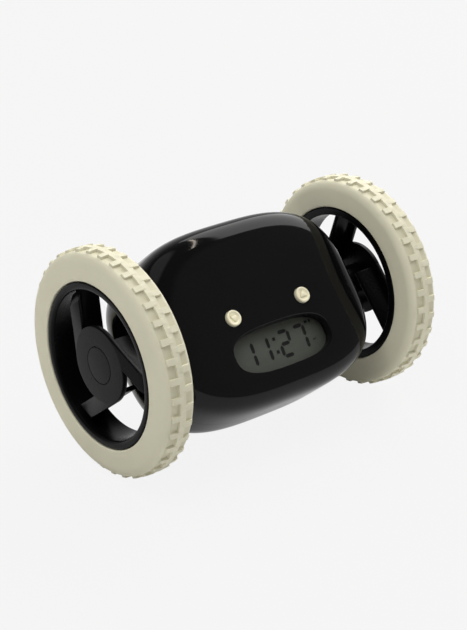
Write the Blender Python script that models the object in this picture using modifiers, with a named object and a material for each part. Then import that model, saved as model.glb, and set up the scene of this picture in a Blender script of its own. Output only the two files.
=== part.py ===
"""Rolling alarm clock: a barrel-shaped clock slung between two wheels that it drives itself.

Metres, +Z up. The wheels' axle runs along X, the face looks towards -Y and upwards, and the origin
lies on the floor below the middle of the axle. Pieces of the housing are placed in the housing's
own frame, whose origin is on the axle: x runs along the axle, out is the distance in front of the
axle towards the viewer of the face, and up is the distance up the face.
"""
import math

import bmesh
import bpy
from mathutils import Matrix, Vector

# Wheels
TYRE_RADIUS = 0.0445
TYRE_WIDTH = 0.0135
TYRE_BORE = 0.0326
SIDEWALL_RADIUS = 0.0397
SHOULDER = ((0.0433, 0.0044), (0.0424, 0.0057), (0.0412, 0.0064))
TREAD_HEIGHT = 0.0011
CENTRE_RIB_WIDTH = 0.0027
TREAD_BLOCKS = 38
BLOCK_WIDTH = 0.0024
BLOCK_REACH = 0.0046
BLOCK_DROP = 0.0003
BLOCK_ROOT = 0.0027
WHEEL_CLEARANCE = 0.0046
RIM_WALL = 0.0030
HUB_DEPTH = 0.0015
HUB_DISC_RADIUS = 0.0152
HUB_DISC_THICKNESS = 0.0020
HUB_BOSS_RADIUS = 0.0060
HUB_BOSS_DEPTH = 0.0126
HUB_CAP_RADIUS = 0.0071
HUB_CAP_THICKNESS = 0.0012
HUB_CAP_BEVEL = 0.0002
ARM_WIDTH = 0.0067
ARM_SLOPE_START = 0.0250
ARM_SLOPE_DROP = 0.0022
ARM_WEB = 0.0018
LEFT_ARM_ANGLE = 98.5
RIGHT_ARM_ANGLE = 72.0
ARM_COUNT = 3

# Housing
FACE_TILT = 40.0
HOUSING_HALF_LENGTH = 0.0500
HOUSING_HALF_HEIGHT = 0.03745
HOUSING_FRONT_DEPTH = 0.02845
HOUSING_REAR_DEPTH = 0.0269
HOUSING_MID_OUT = -0.0070
HOUSING_MID_UP = -0.0012
HOUSING_OUTLINE_POWER = 3.18
HOUSING_FRONT_POWER = 7.4
HOUSING_REAR_POWER = 2.4
FACE_EDGE_DROP = 0.0014
WALL = 0.0022

# Clearances
GAP = 0.0003
RUNNING_GAP = 0.00015
SLIDING_GAP = 0.0002
FACET_SAG = 0.0005
BEYOND = 0.08
MELD = 0.00005
PRESS_FIT = 0.0001
MERGE_DISTANCE = 0.000001

# Display
DISPLAY_HALF_WIDTH = 0.0235
DISPLAY_HALF_HEIGHT = 0.00875
DISPLAY_UP = -0.0183
DISPLAY_POWER = 2.8
DISPLAY_RECESS = 0.00425
BEZEL_WALL = 0.0015
WINDOW_MARGIN = 0.0010
WINDOW_THICKNESS = 0.0007
GLASS_SIZE = (0.0490, 0.0194)
GLASS_THICKNESS = 0.0017
HOLDER_WALL = 0.0021
HOLDER_FLOOR = 0.0021

# Face buttons
EYE_RADIUS = 0.00315
EYE_SPACING = 0.0348
EYE_UP = -0.00316
EYE_PROTRUSION = 0.00115
EYE_TRAVEL = 0.0008
EYE_FLANGE = 0.0010
EYE_STEM_RADIUS = 0.0015
EYE_MARK_RADIUS = 0.0015
EYE_MARK_HEIGHT = 0.0002
EYE_BEVEL = 0.0005

# Electronics
BOARD_THICKNESS = 0.0016
BOARD_SIZE = (0.0660, 0.0400)
BOARD_UP = -0.0020
BOARD_POST_RADIUS = 0.0020
BOARD_POSTS = ((0.0290, 0.0145), (0.0290, -0.0050))
SWITCH_SIZE = 0.0060
SWITCH_HEIGHT = 0.0022
CHIP_SIZE = (0.0090, 0.0090, 0.0014)
CHIP_PLACE = (0.0150, 0.0110)
BUZZER_RADIUS = 0.0060
BUZZER_HEIGHT = 0.0045
BUZZER_PLACE = (-0.0150, 0.0100)

# Rear controls
CONTROL_UP = 0.00875
CONTROL_BOARD_SIZE = (0.0420, 0.0105)
CONTROL_BOARD_BACK = 0.0296
CONTROL_BUTTON_RADIUS = 0.0025
CONTROL_BUTTON_PROTRUSION = 0.0008
CONTROL_BUTTON_TRAVEL = 0.0008
CONTROL_FLANGE = 0.0008
CONTROL_BEVEL = 0.0004
SET_BUTTON_X = -0.0130
ALARM_BUTTON_X = -0.0040
MODE_SWITCH_X = 0.0090
MODE_KNOB_SIZE = (0.0040, 0.0026)
MODE_TRAVEL = 0.0025
CONTROL_POST_X = 0.0190
CONTROL_POST_RADIUS = 0.0018

# Battery bay
CELL_RADIUS = 0.0052
CELL_LENGTH = 0.0445
CELL_COUNT = 4
CELL_PITCH = 0.0107
CELL_NUB_RADIUS = 0.0019
CELL_NUB_HEIGHT = 0.0010
BAY_OUT = -0.0201
BAY_UP = -0.0056
TRAY_WALL = 0.0012
TRAY_DEPTH = 0.0058
SPRING_ROOM = 0.0048
CONTACT_THICKNESS = 0.0004
SPRING_WIRE = 0.0005
SPRING_RADIUS = 0.0030
SPRING_TIP_RADIUS = 0.0016
SPRING_TURNS = 2
DOOR_HALF_LENGTH = 0.0265
DOOR_LOW = -0.0290
DOOR_HIGH = 0.0220
DOOR_CUT_FROM = -0.0080
DOOR_RIB_X = 0.0120
DOOR_RIB_THICKNESS = 0.0014
DOOR_SCREW_UP = 0.0181
DOOR_BOSS_WALL = 0.0008
DOOR_SCREW_DEPTH = 0.0028
SCREW_POST_RADIUS = 0.0021

# Drive
GEAR_MODULE = 0.0007
MOTOR_TEETH = 8
IDLER_TEETH = 20
IDLER_SMALL_TEETH = 8
AXLE_TEETH = 20
TOOTH_SHARE = 0.38
TOOTH_TAPER = 0.14
TOOTH_HEIGHT = 0.75
TRAIN_ANGLE = -90.0
MOTOR_INNER_X = 0.0040
MOTOR_LENGTH = 0.0250
MOTOR_RADIUS = 0.0100
MOTOR_FLAT = 0.0151
MOTOR_BOSS_RADIUS = 0.0030
MOTOR_BOSS_LENGTH = 0.0015
MOTOR_SHAFT_RADIUS = 0.0010
PLATE_THICKNESS = 0.0012
PLATE_HALF_DEPTH = 0.0090
PLATE_HIGH = 0.0110
INNER_PLATE_LOW = -0.0290
OUTER_PLATE_LOW = -0.0181
GEAR_SIDE_GAP = 0.0010
FIRST_STAGE_WIDTH = 0.0028
SECOND_STAGE_WIDTH = 0.0030
STAY_RADIUS = 0.0012
STAYS = ((0.0074, -0.0166), (-0.0074, -0.0166), (0.0, 0.0095))
AXLE_RADIUS = 0.0020
AXLE_OUTER_INSET = 0.0065
BUSH_WALL = 0.0019
BUSH_FLANGE = 0.0012
BUSH_FLANGE_THICKNESS = 0.0016
BUSH_NOSE = 0.0010

# Screws
CASE_SCREWS = ((0.0310, 0.0245), (0.0385, -0.0215))
CASE_SCREW_SEAT = 0.0070
CASE_SCREW_LENGTH = 0.0130
CASE_POST_RADIUS = 0.0030
SCREW_HEAD_RADIUS = 0.0023
SCREW_HEAD_HEIGHT = 0.0015
SCREW_SHANK_RADIUS = 0.0011
SCREW_SLOT = 0.0007
AXLE_SCREW_LENGTH = 0.0052
DOOR_SCREW_LENGTH = 0.0080

# Places that follow from the sizes above
AXLE_HEIGHT = TYRE_RADIUS
FACE_OUT = HOUSING_MID_OUT + HOUSING_FRONT_DEPTH
HALF_TYRE = TYRE_WIDTH / 2
OVERALL_WIDTH = 2 * (HOUSING_HALF_LENGTH + WHEEL_CLEARANCE + TYRE_WIDTH)
WHEEL_X = OVERALL_WIDTH / 2 - HALF_TYRE
RIM_RADIUS = TYRE_BORE - GAP - PRESS_FIT
RING_INNER_RADIUS = RIM_RADIUS - RIM_WALL
FIRST_CENTRES = GEAR_MODULE * (MOTOR_TEETH + IDLER_TEETH) / 2
SECOND_CENTRES = GEAR_MODULE * (IDLER_SMALL_TEETH + AXLE_TEETH) / 2
MOTOR_OUTER_X = MOTOR_INNER_X + MOTOR_LENGTH
INNER_PLATE_X = MOTOR_OUTER_X + GAP
FIRST_STAGE_X = INNER_PLATE_X + PLATE_THICKNESS + GEAR_SIDE_GAP
SECOND_STAGE_X = FIRST_STAGE_X + FIRST_STAGE_WIDTH + GEAR_SIDE_GAP
OUTER_PLATE_X = SECOND_STAGE_X + SECOND_STAGE_WIDTH + GEAR_SIDE_GAP
RECESS_FLOOR = FACE_OUT - DISPLAY_RECESS
WINDOW_BACK = RECESS_FLOOR - GAP - WINDOW_THICKNESS
GLASS_FRONT = WINDOW_BACK - GAP
GLASS_BACK = GLASS_FRONT - GLASS_THICKNESS
HOLDER_BACK = GLASS_BACK - GAP - HOLDER_FLOOR
BOARD_FRONT = HOLDER_BACK - GAP
TRAY_HALF_WIDTH = (CELL_COUNT - 1) * CELL_PITCH / 2 + CELL_RADIUS + GAP
TRAY_HALF_LENGTH = (CELL_LENGTH + SPRING_ROOM) / 2 + CONTACT_THICKNESS + 2 * GAP
TRAY_FLOOR = BAY_OUT + CELL_RADIUS + GAP
SCREW_HOLE_RADIUS = SCREW_SHANK_RADIUS + GAP

# Turns a piece made along its own Z so that it points to -X, with its own X towards the face side
SIDEWAYS = Matrix(((0, 0, -1), (-1, 0, 0), (0, 1, 0))).to_4x4()
# The mirror place for the right wheel: own Z points to +X, own X still towards the face side
SIDEWAYS_RIGHT = Matrix(((0, 0, 1), (-1, 0, 0), (0, -1, 0))).to_4x4()
# Own Z points out of the face, own Y up the face
OUTWARDS = Matrix.Rotation(math.radians(90), 4, "X")
# Own Z points straight back, own Y up
BACKWARDS = Matrix(((-1, 0, 0), (0, 0, 1), (0, 1, 0))).to_4x4()


def spot(x, out, up):
    """A place in the housing's own frame."""
    return Vector((x, -out, up))


# Scene, collections and materials

def clear_scene():
    for item in list(bpy.data.objects):
        bpy.data.objects.remove(item)


def new_collection(name):
    group = bpy.data.collections.new(name)
    bpy.context.scene.collection.children.link(group)
    return group


def new_material(name, colour, roughness, metallic=0.0, alpha=1.0):
    material = bpy.data.materials.new(name)
    material.use_nodes = True
    shader = material.node_tree.nodes["Principled BSDF"]
    shader.inputs["Base Color"].default_value = (*colour, 1.0)
    shader.inputs["Roughness"].default_value = roughness
    shader.inputs["Metallic"].default_value = metallic
    shader.inputs["Alpha"].default_value = alpha
    material.diffuse_color = (*colour, alpha)
    return material


clear_scene()
PARTS = new_collection("rolling_alarm_clock")
CUTTERS = new_collection("cutters")

GLOSS_BLACK = new_material("gloss_black", (0.010, 0.010, 0.011), 0.12)
RIM_BLACK = new_material("rim_black", (0.012, 0.012, 0.013), 0.35)
TYRE_CREAM = new_material("tyre_cream", (0.66, 0.62, 0.45), 0.6)
BUTTON_CREAM = new_material("button_cream", (0.76, 0.71, 0.52), 0.35)
CLEAR = new_material("clear_window", (0.9, 0.9, 0.9), 0.05, alpha=0.35)
DISPLAY_GREY = new_material("display_grey", (0.07, 0.075, 0.06), 0.25)
INNER_BLACK = new_material("inner_black", (0.02, 0.02, 0.02), 0.5)
BOARD_GREEN = new_material("board_green", (0.02, 0.13, 0.05), 0.4)
STEEL = new_material("steel", (0.55, 0.55, 0.56), 0.3, 1.0)
MOTOR_CAN = new_material("motor_can", (0.60, 0.60, 0.60), 0.35, 1.0)
BRASS = new_material("brass", (0.72, 0.52, 0.22), 0.3, 1.0)
GEAR_WHITE = new_material("gear_white", (0.80, 0.80, 0.76), 0.45)
CELL_WRAP = new_material("cell_wrap", (0.10, 0.16, 0.30), 0.3)


# Objects

def new_object(name, mesh, group, parent, place):
    item = bpy.data.objects.new(name, mesh)
    group.objects.link(item)
    item.parent = parent
    item.matrix_local = place
    return item


def new_empty(name, place, parent=None):
    return new_object(name, None, PARTS, parent, place)


def mesh_from(name, shape):
    mesh = bpy.data.meshes.new(name)
    shape.to_mesh(mesh)
    shape.free()
    return mesh


def make_part(name, shape, material, parent, place=Matrix(), smooth=True):
    """A piece of the clock from a bmesh or a mesh."""
    mesh = mesh_from(name, shape) if isinstance(shape, bmesh.types.BMesh) else shape
    if not mesh.materials:
        mesh.materials.append(material)
    if smooth:
        mesh.shade_smooth()
        mesh.set_sharp_from_angle(angle=math.radians(35))
    return new_object(name, mesh, PARTS, parent, place)


def make_cutter(name, shape, parent, place=Matrix()):
    mesh = mesh_from(name, shape) if isinstance(shape, bmesh.types.BMesh) else shape
    item = new_object(name, mesh, CUTTERS, parent, place)
    item.hide_render = True
    item.display_type = "WIRE"
    return item


def boolean(item, other, operation):
    modifier = item.modifiers.new(operation.lower(), "BOOLEAN")
    modifier.operation = operation
    modifier.object = other


def cut(item, *others):
    for other in others:
        boolean(item, other, "DIFFERENCE")


def join(item, *others):
    for other in others:
        boolean(item, other, "UNION")


def evaluated_mesh(item):
    """The item's mesh with its modifiers applied."""
    graph = bpy.context.evaluated_depsgraph_get()
    return bpy.data.meshes.new_from_object(item.evaluated_get(graph))


def applied(item):
    """The mesh of a helper object after its modifiers, and the helper is removed."""
    mesh = evaluated_mesh(item)
    bpy.data.objects.remove(item)
    return mesh


# Shapes

def add_rod(shape, start, end, radius, segments=24):
    """A solid cylinder between two points, added to a bmesh."""
    run = end - start
    turn = Vector((0, 0, 1)).rotation_difference(run).to_matrix().to_4x4()
    place = Matrix.Translation((start + end) / 2) @ turn
    bmesh.ops.create_cone(shape, cap_ends=True, segments=segments, radius1=radius, radius2=radius,
                          depth=run.length, matrix=place)
    return shape


def rod(start, end, radius, segments=24):
    return add_rod(bmesh.new(), start, end, radius, segments)


def across(x_start, x_end, out, up, radius, segments=24):
    """A cylinder along the axle's direction in the housing's frame."""
    return rod(spot(x_start, out, up), spot(x_end, out, up), radius, segments)


def outward(x, up, out_start, out_end, radius, segments=24):
    """A cylinder square to the face in the housing's frame."""
    return rod(spot(x, out_start, up), spot(x, out_end, up), radius, segments)


def box(low, high):
    """A box between two corners."""
    low = Vector(low)
    high = Vector(high)
    size = high - low
    size = Vector([abs(value) for value in size])
    shape = bmesh.new()
    place = Matrix.Translation((low + high) / 2) @ Matrix.Diagonal((*size, 1))
    bmesh.ops.create_cube(shape, size=1, matrix=place)
    return shape


def housing_box(x_range, out_range, up_range):
    """A box in the housing's frame from its ranges."""
    low = spot(x_range[0], out_range[0], up_range[0])
    high = spot(x_range[1], out_range[1], up_range[1])
    return box(low, high)


def turned(profile, segments=32, ring=False):
    """A turned solid about Z from (radius, height) points that run down the outer side."""
    shape = bmesh.new()
    points = [shape.verts.new((radius, 0, height)) for radius, height in profile]
    ends = [*points[1:], points[0]] if ring else points[1:]
    for first, second in zip(points, ends):
        shape.edges.new((first, second))
    helper = new_object("turned", mesh_from("turned", shape), CUTTERS, None, Matrix())
    screw = helper.modifiers.new("screw", "SCREW")
    screw.axis = "Z"
    screw.steps = segments
    screw.render_steps = segments
    screw.use_merge_vertices = True
    screw.merge_threshold = 10 * MERGE_DISTANCE
    bpy.context.view_layer.update()
    return applied(helper)


def outline_solid(outlines, thickness):
    """A flat outline with holes, thickened about its own plane."""
    curve = bpy.data.curves.new("outline", "CURVE")
    curve.dimensions = "2D"
    curve.fill_mode = "BOTH"
    curve.extrude = thickness / 2
    for points in outlines:
        spline = curve.splines.new("POLY")
        spline.points.add(len(points) - 1)
        for point, (x, y) in zip(spline.points, points):
            point.co = (x, y, 0, 1)
        spline.use_cyclic_u = True
    helper = new_object("outline", curve, CUTTERS, None, Matrix())
    bpy.context.view_layer.update()
    mesh = applied(helper)
    shape = bmesh.new()
    shape.from_mesh(mesh)
    bmesh.ops.remove_doubles(shape, verts=shape.verts, dist=MERGE_DISTANCE)
    bmesh.ops.recalc_face_normals(shape, faces=shape.faces)
    return shape


def circle_points(radius, count, start=0.0):
    angles = [math.radians(start) + math.tau * k / count for k in range(count)]
    return [(radius * math.cos(angle), radius * math.sin(angle)) for angle in angles]


def superellipse_points(half_width, half_height, power, count=32):
    """An even rounded outline that lies between an ellipse and a rectangle."""
    points = []
    for k in range(count):
        angle = math.tau * (k + 0.5) / count
        c = math.cos(angle)
        s = math.sin(angle)
        points.append((math.copysign(abs(c) ** (2 / power), c) * half_width,
                       math.copysign(abs(s) ** (2 / power), s) * half_height))
    return points


# The housing's form

def housing_field(x, out, up, inset):
    """Below zero inside the housing's skin, drawn in by inset, and above zero outside it."""
    out = out - HOUSING_MID_OUT
    up = up - HOUSING_MID_UP
    half_length = HOUSING_HALF_LENGTH - inset
    half_height = HOUSING_HALF_HEIGHT - inset
    depth = (HOUSING_FRONT_DEPTH if out > 0 else HOUSING_REAR_DEPTH) - inset
    power = HOUSING_FRONT_POWER if out > 0 else HOUSING_REAR_POWER
    ends = (abs(x) / half_length) ** HOUSING_OUTLINE_POWER
    sides = (abs(up) / half_height) ** HOUSING_OUTLINE_POWER
    return (ends + sides) ** (power / HOUSING_OUTLINE_POWER) + (abs(out) / depth) ** power - 1


def reach(start, direction, inset=0.0):
    """Distance from a point inside the housing to its skin, along a direction in its frame."""
    near = 0
    far = BEYOND
    for _ in range(34):
        middle = (near + far) / 2
        point = start + direction * middle
        if housing_field(point.x, -point.y, point.z, inset) < 0:
            near = middle
        else:
            far = middle
    return near


def skin_out(x, up, side, inset=0.0):
    """How far out of the axle's plane the skin lies, in front (side 1) or behind (side -1)."""
    return side * reach(spot(x, 0, up), spot(0, side, 0), inset)


def safe_out(x, up, radius, side):
    """Where a round post can end inside the skin, without showing through it."""
    around = [skin_out(x + a, up + b, side) for a, b in circle_points(radius, 12)]
    margin = WALL / 3
    return min(around) - margin if side > 0 else max(around) + margin


def ring_angle(share, rim):
    """Polar angle of a ring of the skin, for an even share of the way from face to back."""
    edge = math.radians(9)
    knots = ((0, 0), (0.16, rim - edge), (0.34, rim + edge * 0.8), (0.5, math.radians(86)),
             (0.56, math.radians(97)), (1, math.pi))
    for (low, start), (high, end) in zip(knots, knots[1:]):
        if share <= high:
            return start + (end - start) * (share - low) / (high - low)
    return math.pi


def housing_blank(inset, segments, rings):
    """The housing's whole form as a closed skin, drawn in by inset."""
    shape = bmesh.new()
    bmesh.ops.create_uvsphere(shape, u_segments=segments, v_segments=rings, radius=1)
    middle = spot(0, 0, 0)
    for vertex in shape.verts:
        around = math.atan2(vertex.co.y, vertex.co.x)
        share = math.acos(max(-1, min(1, vertex.co.z))) / math.pi
        rim = math.atan2(face_edge(around, inset), FACE_OUT - inset)
        polar = ring_angle(share, rim)
        direction = spot(math.sin(polar) * math.cos(around), math.cos(polar),
                         math.sin(polar) * math.sin(around))
        vertex.co = direction * reach(middle, direction, inset)
    return shape


def face_edge(around, inset):
    """Distance of the face's rounded edge from the face's middle, in one direction."""
    plane = FACE_OUT - inset - FACE_EDGE_DROP
    direction = spot(math.cos(around), 0, math.sin(around))
    return reach(spot(0, plane, 0), direction, inset)


# Screws

def screw_mesh(length, head_radius=SCREW_HEAD_RADIUS, head_height=SCREW_HEAD_HEIGHT):
    """A slotted pan head screw, head up, with its seat at height 0."""
    profile = [(0, head_height), (head_radius * 0.7, head_height), (head_radius, head_height * 0.5),
               (head_radius, 0), (SCREW_SHANK_RADIUS, 0), (SCREW_SHANK_RADIUS, -length), (0, -length)]
    item = new_object("screw", turned(profile, 12), CUTTERS, None, Matrix())
    slot = box((-2 * head_radius, -SCREW_SLOT / 2, head_height * 0.4),
               (2 * head_radius, SCREW_SLOT / 2, head_height * 2))
    cut(item, make_cutter("screw_slot", slot, None))
    bpy.context.view_layer.update()
    return applied(item)


# Housing shells

def build_shells(pose):
    skin = housing_blank(0, 36, 16)
    inside = make_cutter("housing_inside", housing_blank(WALL, 28, 14), pose)
    far = BEYOND
    front = make_part("front_shell", skin.copy(), GLOSS_BLACK, pose)
    rear = make_part("rear_shell", skin.copy(), GLOSS_BLACK, pose)
    door = make_part("battery_door", skin, GLOSS_BLACK, pose)
    behind = make_cutter("rear_half", housing_box((-far, far), (-far, GAP / 2), (-far, far)), pose)
    ahead = make_cutter("front_half", housing_box((-far, far), (-GAP / 2, far), (-far, far)), pose)
    cut(front, inside, behind)
    cut(rear, inside, ahead)
    bush_radius = AXLE_RADIUS + RUNNING_GAP + BUSH_WALL
    bush_hole = make_cutter("axle_holes", across(-far, far, 0, 0, bush_radius + GAP), pose)
    cut(front, bush_hole)
    cut(rear, bush_hole)
    build_face_openings(front, pose)
    build_case_posts(front, rear, pose)
    build_board_posts(front, pose)
    build_control_openings(rear, pose)
    build_door(rear, door, inside, pose)


def build_face_openings(front, pose):
    bezel_top = min(skin_out(x, DISPLAY_UP + up, 1) for x, up in
                    superellipse_points(DISPLAY_HALF_WIDTH + BEZEL_WALL, DISPLAY_HALF_HEIGHT + BEZEL_WALL,
                                        DISPLAY_POWER, 24)) - WALL / 4
    bezel = outline_solid([superellipse_points(DISPLAY_HALF_WIDTH + BEZEL_WALL,
                                               DISPLAY_HALF_HEIGHT + BEZEL_WALL, DISPLAY_POWER)],
                          bezel_top - RECESS_FLOOR)
    place = Matrix.Translation(spot(0, (bezel_top + RECESS_FLOOR) / 2, DISPLAY_UP)) @ OUTWARDS
    join(front, make_cutter("bezel", bezel, pose, place))
    opening = outline_solid([superellipse_points(DISPLAY_HALF_WIDTH, DISPLAY_HALF_HEIGHT, DISPLAY_POWER)],
                            4 * DISPLAY_RECESS)
    place = Matrix.Translation(spot(0, FACE_OUT, DISPLAY_UP)) @ OUTWARDS
    cut(front, make_cutter("display_opening", opening, pose, place))
    holes = bmesh.new()
    for side in (-1, 1):
        x = side * EYE_SPACING / 2
        add_rod(holes, spot(x, FACE_OUT - 2 * WALL, EYE_UP), spot(x, FACE_OUT + WALL, EYE_UP),
                EYE_RADIUS + SLIDING_GAP, 20)
    cut(front, make_cutter("eye_holes", holes, pose))


def case_screw_places():
    return [(side * x, up) for x, up in CASE_SCREWS for side in (-1, 1)]


def build_case_posts(front, rear, pose):
    """Posts that the case screws pull together, with a deep screw well behind each."""
    front_posts = bmesh.new()
    rear_posts = bmesh.new()
    front_holes = bmesh.new()
    rear_holes = bmesh.new()
    wells = bmesh.new()
    for x, up in case_screw_places():
        top = safe_out(x, up, CASE_POST_RADIUS, 1)
        bottom = safe_out(x, up, CASE_POST_RADIUS, -1)
        add_rod(front_posts, spot(x, GAP, up), spot(x, top, up), CASE_POST_RADIUS, 10)
        add_rod(rear_posts, spot(x, bottom, up), spot(x, -GAP, up), CASE_POST_RADIUS + GAP, 12)
        add_rod(front_holes, spot(x, -WALL, up), spot(x, CASE_SCREW_LENGTH - CASE_SCREW_SEAT + GAP, up),
                SCREW_HOLE_RADIUS, 8)
        add_rod(rear_holes, spot(x, -CASE_SCREW_SEAT - WALL, up), spot(x, WALL, up), SCREW_HOLE_RADIUS, 8)
        add_rod(wells, spot(x, -CASE_SCREW_SEAT, up), spot(x, -2 * HOUSING_REAR_DEPTH, up),
                SCREW_HEAD_RADIUS + GAP, 12)
    join(front, make_cutter("front_posts", front_posts, pose))
    cut(front, make_cutter("front_post_holes", front_holes, pose))
    join(rear, make_cutter("rear_posts", rear_posts, pose))
    cut(rear, make_cutter("rear_post_holes", rear_holes, pose), make_cutter("screw_wells", wells, pose))
    mesh = screw_mesh(CASE_SCREW_LENGTH)
    seat = CASE_SCREW_SEAT + GAP
    turn = Matrix.Rotation(math.radians(-90), 4, "X")
    for number, (x, up) in enumerate(case_screw_places(), 1):
        make_part(f"case_screw_{number}", mesh, STEEL, pose, Matrix.Translation(spot(x, -seat, up)) @ turn)


def build_board_posts(front, pose):
    posts = bmesh.new()
    for x, up in BOARD_POSTS:
        for side in (-1, 1):
            top = safe_out(side * x, up, BOARD_POST_RADIUS, 1)
            add_rod(posts, spot(side * x, BOARD_FRONT + GAP, up), spot(side * x, top, up),
                    BOARD_POST_RADIUS, 8)
    join(front, make_cutter("board_posts", posts, pose))


def back_skin(x, height, inset=0.0):
    """How far straight behind the axle the housing's skin lies at a height above the axle."""
    tilt = math.radians(FACE_TILT)
    start = Vector((x, height * math.sin(tilt) * -1, height * math.cos(tilt)))
    direction = Vector((0, math.cos(tilt), math.sin(tilt)))
    return reach(start, direction, inset)


def build_control_openings(rear, pose):
    """Round holes and a slot straight behind the axle, with posts that carry their board."""
    upright = Matrix.Rotation(math.radians(FACE_TILT), 4, "X")
    far = BEYOND
    holes = bmesh.new()
    for x in (SET_BUTTON_X, ALARM_BUTTON_X):
        add_rod(holes, Vector((x, CONTROL_BOARD_BACK, CONTROL_UP)), Vector((x, far, CONTROL_UP)),
                CONTROL_BUTTON_RADIUS + SLIDING_GAP, 16)
    half_slot = MODE_KNOB_SIZE[0] / 2 + MODE_TRAVEL + SLIDING_GAP
    half_height = MODE_KNOB_SIZE[1] / 2 + SLIDING_GAP
    slot = box((MODE_SWITCH_X - half_slot, CONTROL_BOARD_BACK, CONTROL_UP - half_height),
               (MODE_SWITCH_X + half_slot, far, CONTROL_UP + half_height))
    posts = bmesh.new()
    for side in (-1, 1):
        x = side * CONTROL_POST_X
        end = back_skin(x, CONTROL_UP) - WALL / 2
        add_rod(posts, Vector((x, CONTROL_BOARD_BACK + GAP, CONTROL_UP)), Vector((x, end, CONTROL_UP)),
                CONTROL_POST_RADIUS, 8)
    join(rear, make_cutter("control_posts", posts, pose, upright))
    cut(rear, make_cutter("control_holes", holes, pose, upright),
        make_cutter("mode_slot", slot, pose, upright))


def build_door(rear, door, inside, pose):
    """A cover cut from the rear skin, with ribs that hold the cells and a boss for its screw."""
    behind = (DOOR_CUT_FROM, -BEYOND)
    hole = housing_box((-DOOR_HALF_LENGTH, DOOR_HALF_LENGTH), behind, (DOOR_LOW, DOOR_HIGH))
    cut(rear, make_cutter("door_opening", hole, pose))
    half = DOOR_HALF_LENGTH - GAP
    block = housing_box((-half, half), behind, (DOOR_LOW + GAP, DOOR_HIGH - GAP))
    boolean(door, make_cutter("door_block", block, pose), "INTERSECT")
    cut(door, inside)
    rib_low = BAY_UP - TRAY_HALF_WIDTH + 2 * CELL_RADIUS
    rib_high = BAY_UP + TRAY_HALF_WIDTH - CELL_RADIUS
    rib_tip = BAY_OUT - CELL_RADIUS - GAP
    for number, x in enumerate((-DOOR_RIB_X, DOOR_RIB_X)):
        ends = [skin_out(x, up, -1) for up in (rib_low, rib_high)]
        rib = housing_box((x - DOOR_RIB_THICKNESS / 2, x + DOOR_RIB_THICKNESS / 2),
                          (rib_tip, max(ends) + WALL / 2), (rib_low, rib_high))
        join(door, make_cutter(f"door_rib_{number}", rib, pose))
    seat = skin_out(0, DOOR_SCREW_UP, -1) + DOOR_SCREW_DEPTH
    boss_radius = SCREW_HEAD_RADIUS + GAP + DOOR_BOSS_WALL
    boss_tip = seat + WALL
    boss = make_cutter("door_boss", outward(0, DOOR_SCREW_UP, -BEYOND, boss_tip, boss_radius, 12), pose)
    boolean(boss, make_cutter("housing_core", housing_blank(WALL / 2, 28, 14), pose), "INTERSECT")
    join(door, boss)
    turn = Matrix.Rotation(math.radians(-90), 4, "X")
    well = turned([(0, 2 * WALL), (SCREW_HEAD_RADIUS + GAP, 2 * WALL), (SCREW_HEAD_RADIUS + GAP, 0),
                   (SCREW_HOLE_RADIUS, 0), (SCREW_HOLE_RADIUS, -2 * WALL), (0, -2 * WALL)], 12)
    place = Matrix.Translation(spot(0, seat, DOOR_SCREW_UP)) @ turn
    cut(door, make_cutter("door_well", well, pose, place))
    place = Matrix.Translation(spot(0, seat - GAP, DOOR_SCREW_UP)) @ turn
    make_part("battery_door_screw", screw_mesh(DOOR_SCREW_LENGTH), STEEL, pose, place)
    build_tray(boss_tip + GAP, pose)


# Battery bay

def build_tray(post_back, pose):
    low = BAY_UP - TRAY_HALF_WIDTH
    high = BAY_UP + TRAY_HALF_WIDTH
    front = TRAY_FLOOR + TRAY_WALL
    back = TRAY_FLOOR - TRAY_DEPTH
    body = housing_box((-TRAY_HALF_LENGTH - TRAY_WALL, TRAY_HALF_LENGTH + TRAY_WALL), (back, front),
                       (low - TRAY_WALL, high + TRAY_WALL))
    pocket = housing_box((-TRAY_HALF_LENGTH, TRAY_HALF_LENGTH), (back - WALL, TRAY_FLOOR), (low, high))
    tray = make_part("battery_tray", body, INNER_BLACK, pose, smooth=False)
    cut(tray, make_cutter("tray_pocket", pocket, pose))
    post = outward(0, DOOR_SCREW_UP, post_back, back + TRAY_WALL, SCREW_POST_RADIUS, 12)
    web = housing_box((-SCREW_POST_RADIUS / 2, SCREW_POST_RADIUS / 2), (back, back + 2 * TRAY_WALL),
                      (high + TRAY_WALL / 2, DOOR_SCREW_UP))
    drill = outward(0, DOOR_SCREW_UP, post_back - WALL, post_back + DOOR_SCREW_LENGTH, SCREW_HOLE_RADIUS, 8)
    join(tray, make_cutter("tray_web", web, pose), make_cutter("tray_post", post, pose))
    cut(tray, make_cutter("tray_drill", drill, pose))
    build_cells(pose)
    build_contacts(low, high, pose)


def cell_places():
    """Each cell's height up the face and the side that its nub points to."""
    places = []
    for number in range(CELL_COUNT):
        up = BAY_UP + (number - (CELL_COUNT - 1) / 2) * CELL_PITCH
        places.append((up, 1 if number % 2 == 0 else -1))
    return places


def build_cells(pose):
    half = CELL_LENGTH / 2
    shoulder = half - CELL_NUB_HEIGHT
    profile = [(0, half), (CELL_NUB_RADIUS, half), (CELL_NUB_RADIUS, shoulder), (CELL_RADIUS, shoulder),
               (CELL_RADIUS, -half), (0, -half)]
    mesh = turned(profile, 16)
    shift = SPRING_ROOM / 2
    for number, (up, side) in enumerate(cell_places(), 1):
        turn = Matrix.Rotation(math.radians(90 * side), 4, "Y")
        place = Matrix.Translation(spot(side * (shift - GAP), BAY_OUT, up)) @ turn
        make_part(f"battery_cell_{number}", mesh, CELL_WRAP, pose, place)


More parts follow.
